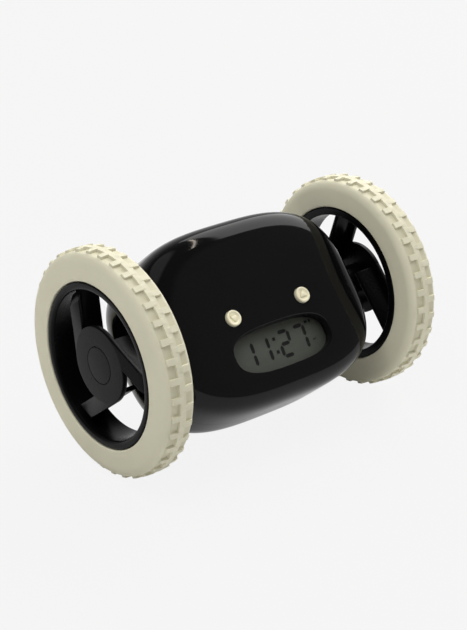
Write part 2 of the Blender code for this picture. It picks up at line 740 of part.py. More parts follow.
def build_contacts(low, high, pose):
    wall_x = TRAY_HALF_LENGTH - GAP
    for side, name in ((-1, "battery_contact_left"), (1, "battery_contact_right")):
        plate = housing_box((side * (wall_x - CONTACT_THICKNESS), side * wall_x),
                            (TRAY_FLOOR - GAP, TRAY_FLOOR - TRAY_DEPTH), (low + GAP, high - GAP))
        make_part(name, plate, STEEL, pose, smooth=False)
    for number, (up, side) in enumerate(cell_places(), 1):
        root = -side * (wall_x - CONTACT_THICKNESS - GAP - SPRING_WIRE)
        tip = side * (SPRING_ROOM / 2 - GAP - CELL_LENGTH / 2) - side * (GAP + SPRING_WIRE)
        build_spring(f"battery_spring_{number}", root, tip, up, pose)


def build_spring(name, root, tip, up, pose):
    """A conical coil of wire between a contact plate and a cell's flat end."""
    curve = bpy.data.curves.new(name, "CURVE")
    curve.dimensions = "3D"
    curve.bevel_depth = SPRING_WIRE
    curve.bevel_resolution = 0
    curve.use_fill_caps = True
    steps = SPRING_TURNS * 7
    spline = curve.splines.new("POLY")
    spline.points.add(steps)
    for k in range(steps + 1):
        share = k / steps
        angle = math.tau * SPRING_TURNS * share
        radius = SPRING_RADIUS + (SPRING_TIP_RADIUS - SPRING_RADIUS) * share
        place = spot(root + (tip - root) * share, BAY_OUT + radius * math.cos(angle),
                     up + radius * math.sin(angle))
        spline.points[k].co = (*place, 1)
    helper = new_object("spring", curve, CUTTERS, None, Matrix())
    bpy.context.view_layer.update()
    shape = bmesh.new()
    shape.from_mesh(applied(helper))
    bmesh.ops.remove_doubles(shape, verts=shape.verts, dist=MERGE_DISTANCE)
    bmesh.ops.recalc_face_normals(shape, faces=shape.faces)
    make_part(name, shape, STEEL, pose)


# Display

def build_display(pose):
    window = outline_solid([superellipse_points(DISPLAY_HALF_WIDTH + WINDOW_MARGIN,
                                                DISPLAY_HALF_HEIGHT + WINDOW_MARGIN, DISPLAY_POWER, 24)],
                           WINDOW_THICKNESS)
    place = Matrix.Translation(spot(0, WINDOW_BACK + WINDOW_THICKNESS / 2, DISPLAY_UP)) @ OUTWARDS
    make_part("display_window", window, CLEAR, pose, place, smooth=False)
    half_width = GLASS_SIZE[0] / 2
    half_height = GLASS_SIZE[1] / 2
    glass = housing_box((-half_width, half_width), (GLASS_BACK, GLASS_FRONT),
                        (DISPLAY_UP - half_height, DISPLAY_UP + half_height))
    make_part("display_glass", glass, DISPLAY_GREY, pose, smooth=False)
    inner_width = half_width + GAP
    inner_height = half_height + GAP
    outer_height = inner_height + HOLDER_WALL / 2
    body = housing_box((-inner_width - HOLDER_WALL, inner_width + HOLDER_WALL), (HOLDER_BACK, GLASS_FRONT),
                       (DISPLAY_UP - outer_height, DISPLAY_UP + outer_height))
    pocket = housing_box((-inner_width, inner_width), (GLASS_BACK - GAP, GLASS_FRONT + WALL),
                         (DISPLAY_UP - inner_height, DISPLAY_UP + inner_height))
    light_gap = housing_box((-half_width * 0.8, half_width * 0.8), (HOLDER_BACK - WALL, GLASS_FRONT),
                            (DISPLAY_UP - half_height * 0.7, DISPLAY_UP + half_height * 0.7))
    frame = make_part("display_frame", body, INNER_BLACK, pose, smooth=False)
    cut(frame, make_cutter("glass_pocket", pocket, pose), make_cutter("holder_window", light_gap, pose))


# Face buttons and their board

def build_eye_buttons(pose):
    top = FACE_OUT + EYE_PROTRUSION
    flange_top = FACE_OUT - WALL - GAP
    flange_bottom = flange_top - EYE_FLANGE
    stem_end = BOARD_FRONT + GAP + SWITCH_HEIGHT + EYE_TRAVEL + GAP
    profile = [(0, 0), (EYE_RADIUS - EYE_BEVEL, 0), (EYE_RADIUS, -EYE_BEVEL), (EYE_RADIUS, flange_top - top),
               (EYE_RADIUS + EYE_FLANGE, flange_top - top), (EYE_RADIUS + EYE_FLANGE, flange_bottom - top),
               (EYE_STEM_RADIUS, flange_bottom - top), (EYE_STEM_RADIUS, stem_end - top), (0, stem_end - top)]
    for side, name in ((-1, "left"), (1, "right")):
        x = side * EYE_SPACING / 2
        place = Matrix.Translation(spot(x, top, EYE_UP)) @ OUTWARDS
        button = make_part(f"{name}_eye_button", turned(profile, 16), BUTTON_CREAM, pose, place)
        mark = bmesh.new()
        turn = Matrix.Rotation(math.radians(90 * side), 4, "Z")
        bmesh.ops.create_cone(mark, cap_ends=True, segments=3, radius1=EYE_MARK_RADIUS,
                              radius2=EYE_MARK_RADIUS, depth=2 * EYE_MARK_HEIGHT, matrix=turn)
        join(button, make_cutter(f"{name}_eye_mark", mark, pose, place))
        low = BOARD_FRONT + GAP
        half = SWITCH_SIZE / 2
        case = housing_box((x - half, x + half), (low, low + SWITCH_HEIGHT * 0.7),
                           (EYE_UP - half, EYE_UP + half))
        switch = make_part(f"{name}_eye_switch", case, INNER_BLACK, pose, smooth=False)
        plunger = outward(x, EYE_UP, low + SWITCH_HEIGHT * 0.3, low + SWITCH_HEIGHT, EYE_STEM_RADIUS, 8)
        join(switch, make_cutter(f"{name}_plunger", plunger, pose))


def build_boards(pose):
    half_width = BOARD_SIZE[0] / 2
    half_height = BOARD_SIZE[1] / 2
    back = BOARD_FRONT - BOARD_THICKNESS
    board = housing_box((-half_width, half_width), (back, BOARD_FRONT),
                        (BOARD_UP - half_height, BOARD_UP + half_height))
    make_part("main_board", board, BOARD_GREEN, pose, smooth=False)
    chip_x, chip_up = CHIP_PLACE
    chip = housing_box((chip_x - CHIP_SIZE[0] / 2, chip_x + CHIP_SIZE[0] / 2),
                       (back - GAP - CHIP_SIZE[2], back - GAP),
                       (chip_up - CHIP_SIZE[1] / 2, chip_up + CHIP_SIZE[1] / 2))
    make_part("clock_chip", chip, INNER_BLACK, pose, smooth=False)
    x, up = BUZZER_PLACE
    buzzer = outward(x, up, back - GAP, back - GAP - BUZZER_HEIGHT, BUZZER_RADIUS, 16)
    make_part("buzzer", buzzer, INNER_BLACK, pose)


# Rear controls

def build_controls(pose):
    upright = Matrix.Rotation(math.radians(FACE_TILT), 4, "X")
    half_width = CONTROL_BOARD_SIZE[0] / 2
    half_height = CONTROL_BOARD_SIZE[1] / 2
    board = box((-half_width, CONTROL_BOARD_BACK - BOARD_THICKNESS, CONTROL_UP - half_height),
                (half_width, CONTROL_BOARD_BACK, CONTROL_UP + half_height))
    make_part("control_board", board, BOARD_GREEN, pose, upright, smooth=False)
    for x, name in ((SET_BUTTON_X, "set_button"), (ALARM_BUTTON_X, "alarm_button")):
        build_control_button(name, x, pose, upright)
    build_mode_switch(pose, upright)


def control_wall(x, half_width, half_height):
    """How far back a flange may reach before it meets the housing's inner skin."""
    corners = [(a, b) for a in (-half_width, half_width) for b in (-half_height, half_height)]
    return min(back_skin(x + a, CONTROL_UP + b, WALL) for a, b in corners) - GAP - FACET_SAG


def build_control_button(name, x, pose, upright):
    top = back_skin(x, CONTROL_UP) + CONTROL_BUTTON_PROTRUSION
    flange_radius = CONTROL_BUTTON_RADIUS + CONTROL_FLANGE
    flange_top = control_wall(x, flange_radius, flange_radius)
    foot = CONTROL_BOARD_BACK + CONTROL_BUTTON_TRAVEL + GAP
    profile = [(0, 0), (CONTROL_BUTTON_RADIUS - CONTROL_BEVEL, 0), (CONTROL_BUTTON_RADIUS, -CONTROL_BEVEL),
               (CONTROL_BUTTON_RADIUS, flange_top - top), (flange_radius, flange_top - top),
               (flange_radius, flange_top - CONTROL_FLANGE - top),
               (CONTROL_BUTTON_RADIUS, flange_top - CONTROL_FLANGE - top), (CONTROL_BUTTON_RADIUS, foot - top),
               (0, foot - top)]
    place = upright @ Matrix.Translation((x, top, CONTROL_UP)) @ BACKWARDS
    make_part(name, turned(profile, 14), BUTTON_CREAM, pose, place)


def build_mode_switch(pose, upright):
    half_width = MODE_KNOB_SIZE[0] / 2
    half_height = MODE_KNOB_SIZE[1] / 2
    top = back_skin(MODE_SWITCH_X, CONTROL_UP) + CONTROL_BUTTON_PROTRUSION
    flange_width = half_width + MODE_TRAVEL + CONTROL_FLANGE
    flange_height = half_height + CONTROL_FLANGE
    flange_top = control_wall(MODE_SWITCH_X, flange_width + MODE_TRAVEL, flange_height)
    knob = box((-half_width, flange_top - CONTROL_FLANGE / 2 - top, -half_height), (half_width, 0, half_height))
    flange = box((-flange_width, flange_top - CONTROL_FLANGE - top, -flange_height),
                 (flange_width, flange_top - top, flange_height))
    foot = box((-half_width, CONTROL_BOARD_BACK + GAP - top, -half_height),
               (half_width, flange_top - CONTROL_FLANGE / 2 - top, half_height))
    place = upright @ Matrix.Translation((MODE_SWITCH_X, top, CONTROL_UP))
    switch = make_part("mode_switch", flange, BUTTON_CREAM, pose, place, smooth=False)
    join(switch, make_cutter("mode_knob", knob, pose, place), make_cutter("mode_foot", foot, pose, place))


# Drive

def train_point(distance):
    """A gear's place at a distance from the axle along the train's line."""
    angle = math.radians(TRAIN_ANGLE)
    return distance * math.cos(angle), distance * math.sin(angle)


def gear_outline(teeth, phase, bore):
    """Straight-sided teeth about a bore, with one tooth's middle at the phase angle."""
    pitch_radius = GEAR_MODULE * teeth / 2
    tip = pitch_radius + TOOTH_HEIGHT * GEAR_MODULE
    root = pitch_radius - GEAR_MODULE
    step = math.tau / teeth
    points = []
    for k in range(teeth):
        middle = math.radians(phase) + k * step
        for radius, offset in ((root, -(TOOTH_SHARE + TOOTH_TAPER)), (tip, -(TOOTH_SHARE - TOOTH_TAPER)),
                               (tip, TOOTH_SHARE - TOOTH_TAPER), (root, TOOTH_SHARE + TOOTH_TAPER)):
            angle = middle + offset * step / 2
            points.append((radius * math.cos(angle), radius * math.sin(angle)))
    holes = [circle_points(bore, 10)] if bore else []
    return [points, *holes]


def gear(teeth, phase, bore, width):
    return outline_solid(gear_outline(teeth, phase, bore), width)


def facing_gap(direction, teeth):
    """Phase that puts a gap, not a tooth, in a direction."""
    return direction + 180 / teeth


def build_drive(side, name, pose):
    motor_out, motor_up = train_point(FIRST_CENTRES + SECOND_CENTRES)
    idler_out, idler_up = train_point(SECOND_CENTRES)
    pin_radius = MOTOR_SHAFT_RADIUS
    build_motor(side, name, motor_out, motor_up, pose)
    build_gear_frame(side, name, motor_out, motor_up, idler_out, idler_up, pose)
    pin = across(side * (INNER_PLATE_X + GAP), side * (OUTER_PLATE_X + PLATE_THICKNESS - GAP), idler_out,
                 idler_up, pin_radius, 10)
    make_part(f"{name}_idler_pin", pin, STEEL, pose)
    build_idler(side, name, idler_out, idler_up, pin_radius, pose)
    build_pinion(side, name, motor_out, motor_up, pose)


def build_motor(side, name, out, up, pose):
    can = across(side * MOTOR_INNER_X, side * MOTOR_OUTER_X, out, up, MOTOR_RADIUS, 20)
    motor = make_part(f"{name}_motor", can, MOTOR_CAN, pose)
    half = MOTOR_FLAT / 2
    block = housing_box((-1, 1), (out - half, out + half), (up - 2 * MOTOR_RADIUS, up + 2 * MOTOR_RADIUS))
    boolean(motor, make_cutter(f"{name}_motor_flats", block, pose), "INTERSECT")
    boss_end = MOTOR_OUTER_X + MOTOR_BOSS_LENGTH
    boss = across(side * (MOTOR_OUTER_X - WALL), side * boss_end, out, up, MOTOR_BOSS_RADIUS, 12)
    drill = across(side * (MOTOR_OUTER_X - MOTOR_BOSS_LENGTH), side * (boss_end + WALL), out, up,
                   MOTOR_SHAFT_RADIUS + GAP, 8)
    join(motor, make_cutter(f"{name}_motor_boss", boss, pose))
    cut(motor, make_cutter(f"{name}_motor_drill", drill, pose))


def build_gear_frame(side, name, motor_out, motor_up, idler_out, idler_up, pose):
    """Two plates on three stays, which carry the motor, the idler's pin and the axle."""
    inner = (side * INNER_PLATE_X, side * (INNER_PLATE_X + PLATE_THICKNESS))
    outer = (side * OUTER_PLATE_X, side * (OUTER_PLATE_X + PLATE_THICKNESS))
    depth = (-PLATE_HALF_DEPTH, PLATE_HALF_DEPTH)
    frame = make_part(f"{name}_gear_frame", housing_box(inner, depth, (INNER_PLATE_LOW, PLATE_HIGH)),
                      INNER_BLACK, pose, smooth=False)
    plate = housing_box(outer, depth, (OUTER_PLATE_LOW, PLATE_HIGH))
    stays = bmesh.new()
    for out, up in STAYS:
        add_rod(stays, spot(side * (INNER_PLATE_X + PLATE_THICKNESS / 2), out, up),
                spot(side * (OUTER_PLATE_X + PLATE_THICKNESS / 2), out, up), STAY_RADIUS, 8)
    join(frame, make_cutter(f"{name}_outer_plate", plate, pose), make_cutter(f"{name}_stays", stays, pose))
    near = side * (INNER_PLATE_X - WALL)
    far = side * (OUTER_PLATE_X + PLATE_THICKNESS + WALL)
    middle = side * (INNER_PLATE_X + OUTER_PLATE_X) / 2
    holes = bmesh.new()
    add_rod(holes, spot(near, motor_out, motor_up), spot(middle, motor_out, motor_up),
            MOTOR_BOSS_RADIUS + GAP, 12)
    add_rod(holes, spot(near, idler_out, idler_up), spot(far, idler_out, idler_up),
            MOTOR_SHAFT_RADIUS + GAP, 10)
    add_rod(holes, spot(middle, 0, 0), spot(far, 0, 0), AXLE_RADIUS + GAP, 12)
    cut(frame, make_cutter(f"{name}_frame_holes", holes, pose))


def build_idler(side, name, out, up, pin_radius, pose):
    """The large wheel meets the motor's pinion, and the small one beside it meets the axle's gear."""
    bore = pin_radius + RUNNING_GAP
    towards_motor = TRAIN_ANGLE
    towards_axle = TRAIN_ANGLE + 180
    first_middle = side * (FIRST_STAGE_X + FIRST_STAGE_WIDTH / 2)
    large = gear(IDLER_TEETH, towards_motor, bore, FIRST_STAGE_WIDTH)
    place = Matrix.Translation(spot(first_middle, out, up)) @ SIDEWAYS
    idler = make_part(f"{name}_idler_gear", large, GEAR_WHITE, pose, place, smooth=False)
    low = FIRST_STAGE_X + FIRST_STAGE_WIDTH * 0.6
    high = SECOND_STAGE_X + SECOND_STAGE_WIDTH
    small = gear(IDLER_SMALL_TEETH, facing_gap(towards_axle, IDLER_SMALL_TEETH), bore, high - low)
    place = Matrix.Translation(spot(side * (low + high) / 2, out, up)) @ SIDEWAYS
    join(idler, make_cutter(f"{name}_idler_small", small, pose, place))


def build_pinion(side, name, out, up, pose):
    """The motor's pinion on the end of its shaft, which runs into the motor."""
    phase = facing_gap(TRAIN_ANGLE + 180, MOTOR_TEETH)
    middle = side * (FIRST_STAGE_X + FIRST_STAGE_WIDTH / 2)
    place = Matrix.Translation(spot(middle, out, up)) @ SIDEWAYS
    pinion = make_part(f"{name}_motor_pinion", gear(MOTOR_TEETH, phase, None, FIRST_STAGE_WIDTH), BRASS,
                       pose, place, smooth=False)
    shaft = across(side * (MOTOR_OUTER_X - MOTOR_BOSS_LENGTH + GAP), middle, out, up, MOTOR_SHAFT_RADIUS, 8)
    join(pinion, make_cutter(f"{name}_motor_shaft", shaft, pose))


def build_bush(side, name, pose):
    """A flanged plain bearing for the axle in the housing's end."""
    bore = AXLE_RADIUS + RUNNING_GAP
    outer = bore + BUSH_WALL
    flange = outer + BUSH_FLANGE
    around = [reach(spot(0, out, up), spot(side, 0, 0), WALL) for out, up in circle_points(flange, 12)]
    seat = min(around) - GAP - FACET_SAG
    inner_end = OUTER_PLATE_X + PLATE_THICKNESS + GAP
    nose = reach(spot(0, 0, 0), spot(side, 0, 0)) + BUSH_NOSE
    profile = [(bore, nose), (outer, nose), (outer, seat), (flange, seat),
               (flange, seat - BUSH_FLANGE_THICKNESS), (outer, seat - BUSH_FLANGE_THICKNESS),
               (outer, inner_end), (bore, inner_end)]
    place = SIDEWAYS if side < 0 else SIDEWAYS_RIGHT
    make_part(f"{name}_axle_bush", turned(profile, 16, ring=True), BRASS, pose, place)


# Wheels

def wheel_z(distance):
    """Place along a wheel's own outward axis for a distance from the clock's middle."""
    return distance - WHEEL_X


def build_tyre(name, wheel):
    base = TYRE_RADIUS - TREAD_HEIGHT
    rib = CENTRE_RIB_WIDTH / 2
    shoulder = [*SHOULDER, (SIDEWALL_RADIUS, HALF_TYRE), (TYRE_BORE, HALF_TYRE)]
    upper = [(TYRE_RADIUS, rib), (base, rib), *shoulder]
    lower = [(radius, -z) for radius, z in upper]
    profile = [*reversed(upper), *lower]
    mesh = turned(profile, TREAD_BLOCKS, ring=True)
    turn = Matrix.Rotation(math.radians(180 / TREAD_BLOCKS), 4, "Z")
    tyre = make_part(f"{name}_tyre", mesh, TYRE_CREAM, wheel, turn)
    blocks = bmesh.new()
    step = math.tau / TREAD_BLOCKS
    for side in (-1, 1):
        for k in range(TREAD_BLOCKS):
            add_tread_block(blocks, side, (k + 0.5 + 0.25 * side) * step)
    join(tyre, make_cutter(f"{name}_tread", blocks, wheel, turn))


def add_tread_block(blocks, side, angle):
    """A block from the centre rib towards one sidewall, lower at its outer end."""
    low = CENTRE_RIB_WIDTH / 4
    bottom = TYRE_RADIUS - BLOCK_ROOT
    top = TYRE_RADIUS - MELD
    result = bmesh.ops.create_cube(blocks, size=1)
    turn = Matrix.Rotation(angle, 4, "Z")
    for vertex in result["verts"]:
        far = vertex.co.z > 0
        high = vertex.co.x > 0
        drop = BLOCK_DROP if far else 0
        radius = top - drop if high else bottom
        across_block = math.copysign(BLOCK_WIDTH / 2, vertex.co.y)
        vertex.co = turn @ Vector((radius, across_block, side * (BLOCK_REACH if far else low)))
    if side < 0:
        faces = {face for vertex in result["verts"] for face in vertex.link_faces}
        bmesh.ops.reverse_faces(blocks, faces=list(faces))


def build_rim(name, wheel, hand, arm_angle):
    """A ring with a hub disc on three arms that run off at a tangent, each with a web behind it."""
    face = HALF_TYRE - SLIDING_GAP
    plate_top = HALF_TYRE - HUB_DEPTH
    plate_low = plate_top - HUB_DISC_THICKNESS
    web_low = HALF_TYRE - HUB_BOSS_DEPTH
    ring = [(RING_INNER_RADIUS, face), (RIM_RADIUS, face), (RIM_RADIUS, -face), (RING_INNER_RADIUS, -face)]
    rim = make_part(f"{name}_rim", turned(ring, 32, ring=True), RIM_BLACK, wheel)
    disc = rod(Vector((0, 0, plate_low)), Vector((0, 0, plate_top)), HUB_DISC_RADIUS, 28)
    join(rim, make_cutter(f"{name}_hub_disc", disc, wheel))
    offset = HUB_DISC_RADIUS + MELD - ARM_WIDTH / 2
    inner_edge = offset - ARM_WIDTH / 2
    length = math.sqrt((RING_INNER_RADIUS + WALL / 8) ** 2 - inner_edge ** 2)
    web_length = math.sqrt((RING_INNER_RADIUS + WALL / 8) ** 2 - (offset - ARM_WEB / 2) ** 2)
    for number in range(ARM_COUNT):
        angle = hand * math.radians(arm_angle - number * 360 / ARM_COUNT)
        turn = Matrix.Rotation(angle, 4, "Z")
        near = hand * (offset - ARM_WIDTH / 2)
        far = hand * (offset + ARM_WIDTH / 2)
        arm = box((0, near, plate_low + MELD / 2), (length, far, plate_top - MELD / 2))
        web = box((10 * MELD, hand * (offset - ARM_WEB / 2), web_low),
                  (web_length, hand * (offset + ARM_WEB / 2), plate_low + HUB_DISC_THICKNESS / 2))
        join(rim, make_cutter(f"{name}_arm_{number}", arm, wheel, turn),
             make_cutter(f"{name}_web_{number}", web, wheel, turn))
    boss = rod(Vector((0, 0, web_low)), Vector((0, 0, plate_low + HUB_DISC_THICKNESS / 2)), HUB_BOSS_RADIUS, 14)
    join(rim, make_cutter(f"{name}_boss", boss, wheel))
    slope_end = RING_INNER_RADIUS + WALL / 40
    slope = turned([(ARM_SLOPE_START, plate_top), (ARM_SLOPE_START, face), (slope_end, face),
                    (slope_end, plate_top - ARM_SLOPE_DROP)], 32, ring=True)
    cut(rim, make_cutter(f"{name}_arm_slope", slope, wheel))
    cap_floor = plate_top - HUB_CAP_THICKNESS - GAP
    head_floor = cap_floor - SCREW_HEAD_HEIGHT - GAP
    recess = rod(Vector((0, 0, cap_floor)), Vector((0, 0, face)), HUB_CAP_RADIUS + GAP, 24)
    counterbore = rod(Vector((0, 0, head_floor)), Vector((0, 0, face)), SCREW_HEAD_RADIUS + GAP, 12)
    bore = rod(Vector((0, 0, -face)), Vector((0, 0, face)), SCREW_HOLE_RADIUS, 8)
    axle_end = wheel_z(OVERALL_WIDTH / 2 - AXLE_OUTER_INSET)
    socket = rod(Vector((0, 0, -face)), Vector((0, 0, axle_end + GAP)), AXLE_RADIUS + GAP, 12)
    cut(rim, make_cutter(f"{name}_cap_recess", recess, wheel),
        make_cutter(f"{name}_counterbore", counterbore, wheel), make_cutter(f"{name}_hub_bore", bore, wheel),
        make_cutter(f"{name}_axle_socket", socket, wheel))
    build_hub(name, wheel, plate_top, head_floor, axle_end)


def build_hub(name, wheel, plate_top, head_floor, axle_end):
    """The cap over the wheel's screw, the screw, the axle and its gear."""
    bevel = HUB_CAP_BEVEL
    low = plate_top - HUB_CAP_THICKNESS
    cap = turned([(0, plate_top), (HUB_CAP_RADIUS - bevel, plate_top), (HUB_CAP_RADIUS, plate_top - bevel),
                  (HUB_CAP_RADIUS, low), (0, low)], 24)
    make_part(f"{name}_hub_cap", cap, RIM_BLACK, wheel)
    make_part(f"{name}_axle_screw", screw_mesh(AXLE_SCREW_LENGTH, head_height=SCREW_HEAD_HEIGHT - GAP), STEEL,
              wheel, Matrix.Translation((0, 0, head_floor + GAP)))
    inner_end = wheel_z(SECOND_STAGE_X - GEAR_SIDE_GAP / 2)
    axle = rod(Vector((0, 0, inner_end)), Vector((0, 0, axle_end)), AXLE_RADIUS, 16)
    axle_part = make_part(f"{name}_axle", axle, STEEL, wheel)
    drill = rod(Vector((0, 0, head_floor - AXLE_SCREW_LENGTH - GAP)), Vector((0, 0, axle_end + WALL)),
                SCREW_HOLE_RADIUS, 8)
    cut(axle_part, make_cutter(f"{name}_axle_drill", drill, wheel))


def build_axle_gear(side, name, wheel):
    """The axle's gear, with a tooth towards the idler at rest."""
    hand = -side
    phase = hand * (TRAIN_ANGLE + FACE_TILT)
    low = wheel_z(SECOND_STAGE_X)
    middle = low + SECOND_STAGE_WIDTH / 2
    shape = gear(AXLE_TEETH, phase, AXLE_RADIUS + GAP, SECOND_STAGE_WIDTH)
    make_part(f"{name}_axle_gear", shape, GEAR_WHITE, wheel, Matrix.Translation((0, 0, middle)), smooth=False)


def build_wheel(side, name, arm_angle):
    turn = SIDEWAYS if side < 0 else SIDEWAYS_RIGHT
    wheel = new_empty(f"{name}_wheel_axis", Matrix.Translation((side * WHEEL_X, 0, AXLE_HEIGHT)) @ turn)
    build_tyre(name, wheel)
    build_rim(name, wheel, -side, arm_angle)
    build_axle_gear(side, name, wheel)


def build_clock():
    tilt = Matrix.Rotation(math.radians(-FACE_TILT), 4, "X")
    pose = new_empty("housing_pose", Matrix.Translation((0, 0, AXLE_HEIGHT)) @ tilt)
    build_shells(pose)
    build_display(pose)
    build_eye_buttons(pose)
    build_boards(pose)
    build_controls(pose)
    for side, name, arm_angle in ((-1, "left", LEFT_ARM_ANGLE), (1, "right", RIGHT_ARM_ANGLE)):
        build_bush(side, name, pose)
        build_drive(side, name, pose)
        build_wheel(side, name, arm_angle)


build_clock()
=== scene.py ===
import math

import bmesh
import bpy
import numpy as np
from mathutils import Matrix, Vector


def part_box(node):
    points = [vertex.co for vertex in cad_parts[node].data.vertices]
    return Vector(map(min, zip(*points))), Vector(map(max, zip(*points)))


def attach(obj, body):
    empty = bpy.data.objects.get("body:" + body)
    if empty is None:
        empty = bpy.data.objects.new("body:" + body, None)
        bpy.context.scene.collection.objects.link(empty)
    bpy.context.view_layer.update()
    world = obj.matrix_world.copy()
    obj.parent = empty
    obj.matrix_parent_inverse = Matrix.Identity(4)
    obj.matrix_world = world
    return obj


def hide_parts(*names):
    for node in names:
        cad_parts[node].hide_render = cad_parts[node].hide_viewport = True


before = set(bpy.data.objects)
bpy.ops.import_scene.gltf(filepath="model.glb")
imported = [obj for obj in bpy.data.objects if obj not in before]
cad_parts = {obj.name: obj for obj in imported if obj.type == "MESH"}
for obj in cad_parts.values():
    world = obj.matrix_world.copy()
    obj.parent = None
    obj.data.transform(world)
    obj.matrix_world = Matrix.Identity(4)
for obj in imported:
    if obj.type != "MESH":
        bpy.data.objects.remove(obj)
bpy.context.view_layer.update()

# Housing: a barrel of thick gloss black ABS in two halves that meet in the plane of the axle.
# Each half is injection moulded and polished, and the display sits in a deep opening
# with a softly rounded lip that is moulded into the front half.
AXLE_HEIGHT = 0.0445
FACE_TILT = math.radians(40)
HOUSING_PLACE = Matrix.Translation((0, 0, AXLE_HEIGHT)) @ Matrix.Rotation(-FACE_TILT, 4, "X")
HALF_LENGTH = 0.0500
HALF_HEIGHT = 0.03745
FRONT_DEPTH = 0.02845
REAR_DEPTH = 0.0269
MIDDLE_OUT = -0.0070
MIDDLE_UP = -0.0012
OUTLINE_POWER = 3.18
FRONT_POWER = 7.4
REAR_POWER = 2.4
FACE_OUT = MIDDLE_OUT + FRONT_DEPTH
WALL = 0.0022
FIT = 0.0003
SEAM = 0.00012
FAR = 0.09
SKIN_GRID = (144, 84)
CORE_GRID = (72, 44)
POLE = 0.012
REACH_LIMIT = 0.08
SKIN_NEAR = 0.0001


def housing_field(x, out, up, inset=0.0):
    """Below zero inside the housing's skin, drawn in by inset, and above zero outside it."""
    out = out - MIDDLE_OUT
    up = up - MIDDLE_UP
    depth = np.where(out > 0, FRONT_DEPTH, REAR_DEPTH) - inset
    power = np.where(out > 0, FRONT_POWER, REAR_POWER)
    ends = (np.abs(x) / (HALF_LENGTH - inset)) ** OUTLINE_POWER
    sides = (np.abs(up) / (HALF_HEIGHT - inset)) ** OUTLINE_POWER
    return (ends + sides) ** (power / OUTLINE_POWER) + (np.abs(out) / depth) ** power - 1


def housing_normals(points):
    """Unit vectors square to the skin's form, and how far each point lies from the skin."""
    x, out, up = points[:, 0], -points[:, 1], points[:, 2]
    step = 1e-6
    rise = [housing_field(x + step, out, up) - housing_field(x - step, out, up),
            housing_field(x, out - step, up) - housing_field(x, out + step, up),
            housing_field(x, out, up + step) - housing_field(x, out, up - step)]
    slope = np.stack(rise, axis=1)
    steepness = np.maximum(np.linalg.norm(slope, axis=1, keepdims=True), 1e-12)
    distance = np.abs(housing_field(x, out, up)) / (steepness[:, 0] / (2 * step))
    return slope / steepness, distance


def reach(start, directions, inset=0.0):
    """Distance from a place inside the housing to its skin, along each direction."""
    near = np.zeros(len(directions))
    far = np.full(len(directions), REACH_LIMIT)
    for _ in range(40):
        middle = (near + far) / 2
        points = start + directions * middle[:, None]
        inside = housing_field(points[:, 0], -points[:, 1], points[:, 2], inset) < 0
        near = np.where(inside, middle, near)
        far = np.where(inside, far, middle)
    return near


def aimed(polar, around):
    """Directions from the housing's middle: polar is the angle off the face's own direction."""
    across = np.sin(polar)
    return np.stack([across * np.cos(around), -np.cos(polar), across * np.sin(around)], axis=-1)


def even_steps(parameter, points, count):
    """Values of the parameter that are closest together where the skin turns fastest."""
    normals = housing_normals(points)[0]
    length = np.linalg.norm(np.diff(points, axis=0), axis=1)
    turn = np.arccos(np.clip((normals[1:] * normals[:-1]).sum(axis=1), -1, 1))
    cost = np.concatenate([[0], np.cumsum(length / length.sum() + turn / turn.sum())])
    return np.interp(np.linspace(0, cost[-1], count), cost, parameter)


def mesh_from(points, faces):
    mesh = bpy.data.meshes.new("form")
    mesh.from_pydata([tuple(point) for point in points], [], faces)
    shape = bmesh.new()
    shape.from_mesh(mesh)
    bmesh.ops.recalc_face_normals(shape, faces=shape.faces)
    shape.to_mesh(mesh)
    shape.free()
    return mesh


def loft(rings, loop=False):
    """A closed solid through rings of the same number of points, capped unless it is a loop."""
    count = len(rings[0])
    last = len(rings) - 1
    pairs = [(a, a + 1) for a in range(last)] + ([(last, 0)] if loop else [])
    faces = [(a * count + k, a * count + (k + 1) % count, b * count + (k + 1) % count, b * count + k)
             for a, b in pairs for k in range(count)]
    if not loop:
        faces += [tuple(range(count)), tuple(last * count + k for k in range(count))]
    return mesh_from(np.concatenate([np.asarray(ring, dtype=float) for ring in rings]), faces)


def housing_form(inset, columns, rings):
    """The housing's whole form, drawn in by inset, with its points gathered where it turns."""

    def on_skin(polar, around):
        directions = aimed(polar, around)
        return directions * reach(np.zeros(3), directions, inset)[:, None]

    fine = np.linspace(0, math.tau, 1441)
    outline = on_skin(np.full_like(fine, math.pi / 2), fine)
    polar = np.linspace(POLE, math.pi - POLE, 500)
    lines = []
    for angle in even_steps(fine, outline, columns + 1)[:-1]:
        chosen = even_steps(polar, on_skin(polar, np.full_like(polar, angle)), rings)
        lines.append(on_skin(chosen, np.full_like(chosen, angle)))
    return loft(np.stack(lines, axis=1))


def carve(mesh, *steps):
    """The mesh after Booleans with other meshes, each given as an operation and a mesh."""
    work = bpy.data.objects.new("work", mesh)
    bpy.context.collection.objects.link(work)
    tools = []
    for operation, other in steps:
        tool = bpy.data.objects.new("tool", other)
        bpy.context.collection.objects.link(tool)
        modifier = work.modifiers.new("carve", "BOOLEAN")
        modifier.operation = operation
        modifier.object = tool
        tools.append(tool)
    bpy.context.view_layer.update()
    result = bpy.data.meshes.new_from_object(work.evaluated_get(bpy.context.evaluated_depsgraph_get()))
    for spare in (work, *tools):
        bpy.data.objects.remove(spare)
    result.materials.clear()
    return result


def block(low, high, bevel=0.0, steps=2):
    """A box between two corners with its edges rounded."""
    low = Vector(low)
    high = Vector(high)
    size = Vector([abs(value) for value in high - low])
    shape = bmesh.new()
    place = Matrix.Translation((low + high) / 2) @ Matrix.Diagonal((*size, 1))
    bmesh.ops.create_cube(shape, size=1, matrix=place)
    if bevel:
        bmesh.ops.bevel(shape, geom=shape.edges[:], offset=bevel, segments=steps, profile=0.5,
                        affect="EDGES")
    mesh = bpy.data.meshes.new("block")
    shape.to_mesh(mesh)
    shape.free()
    return mesh


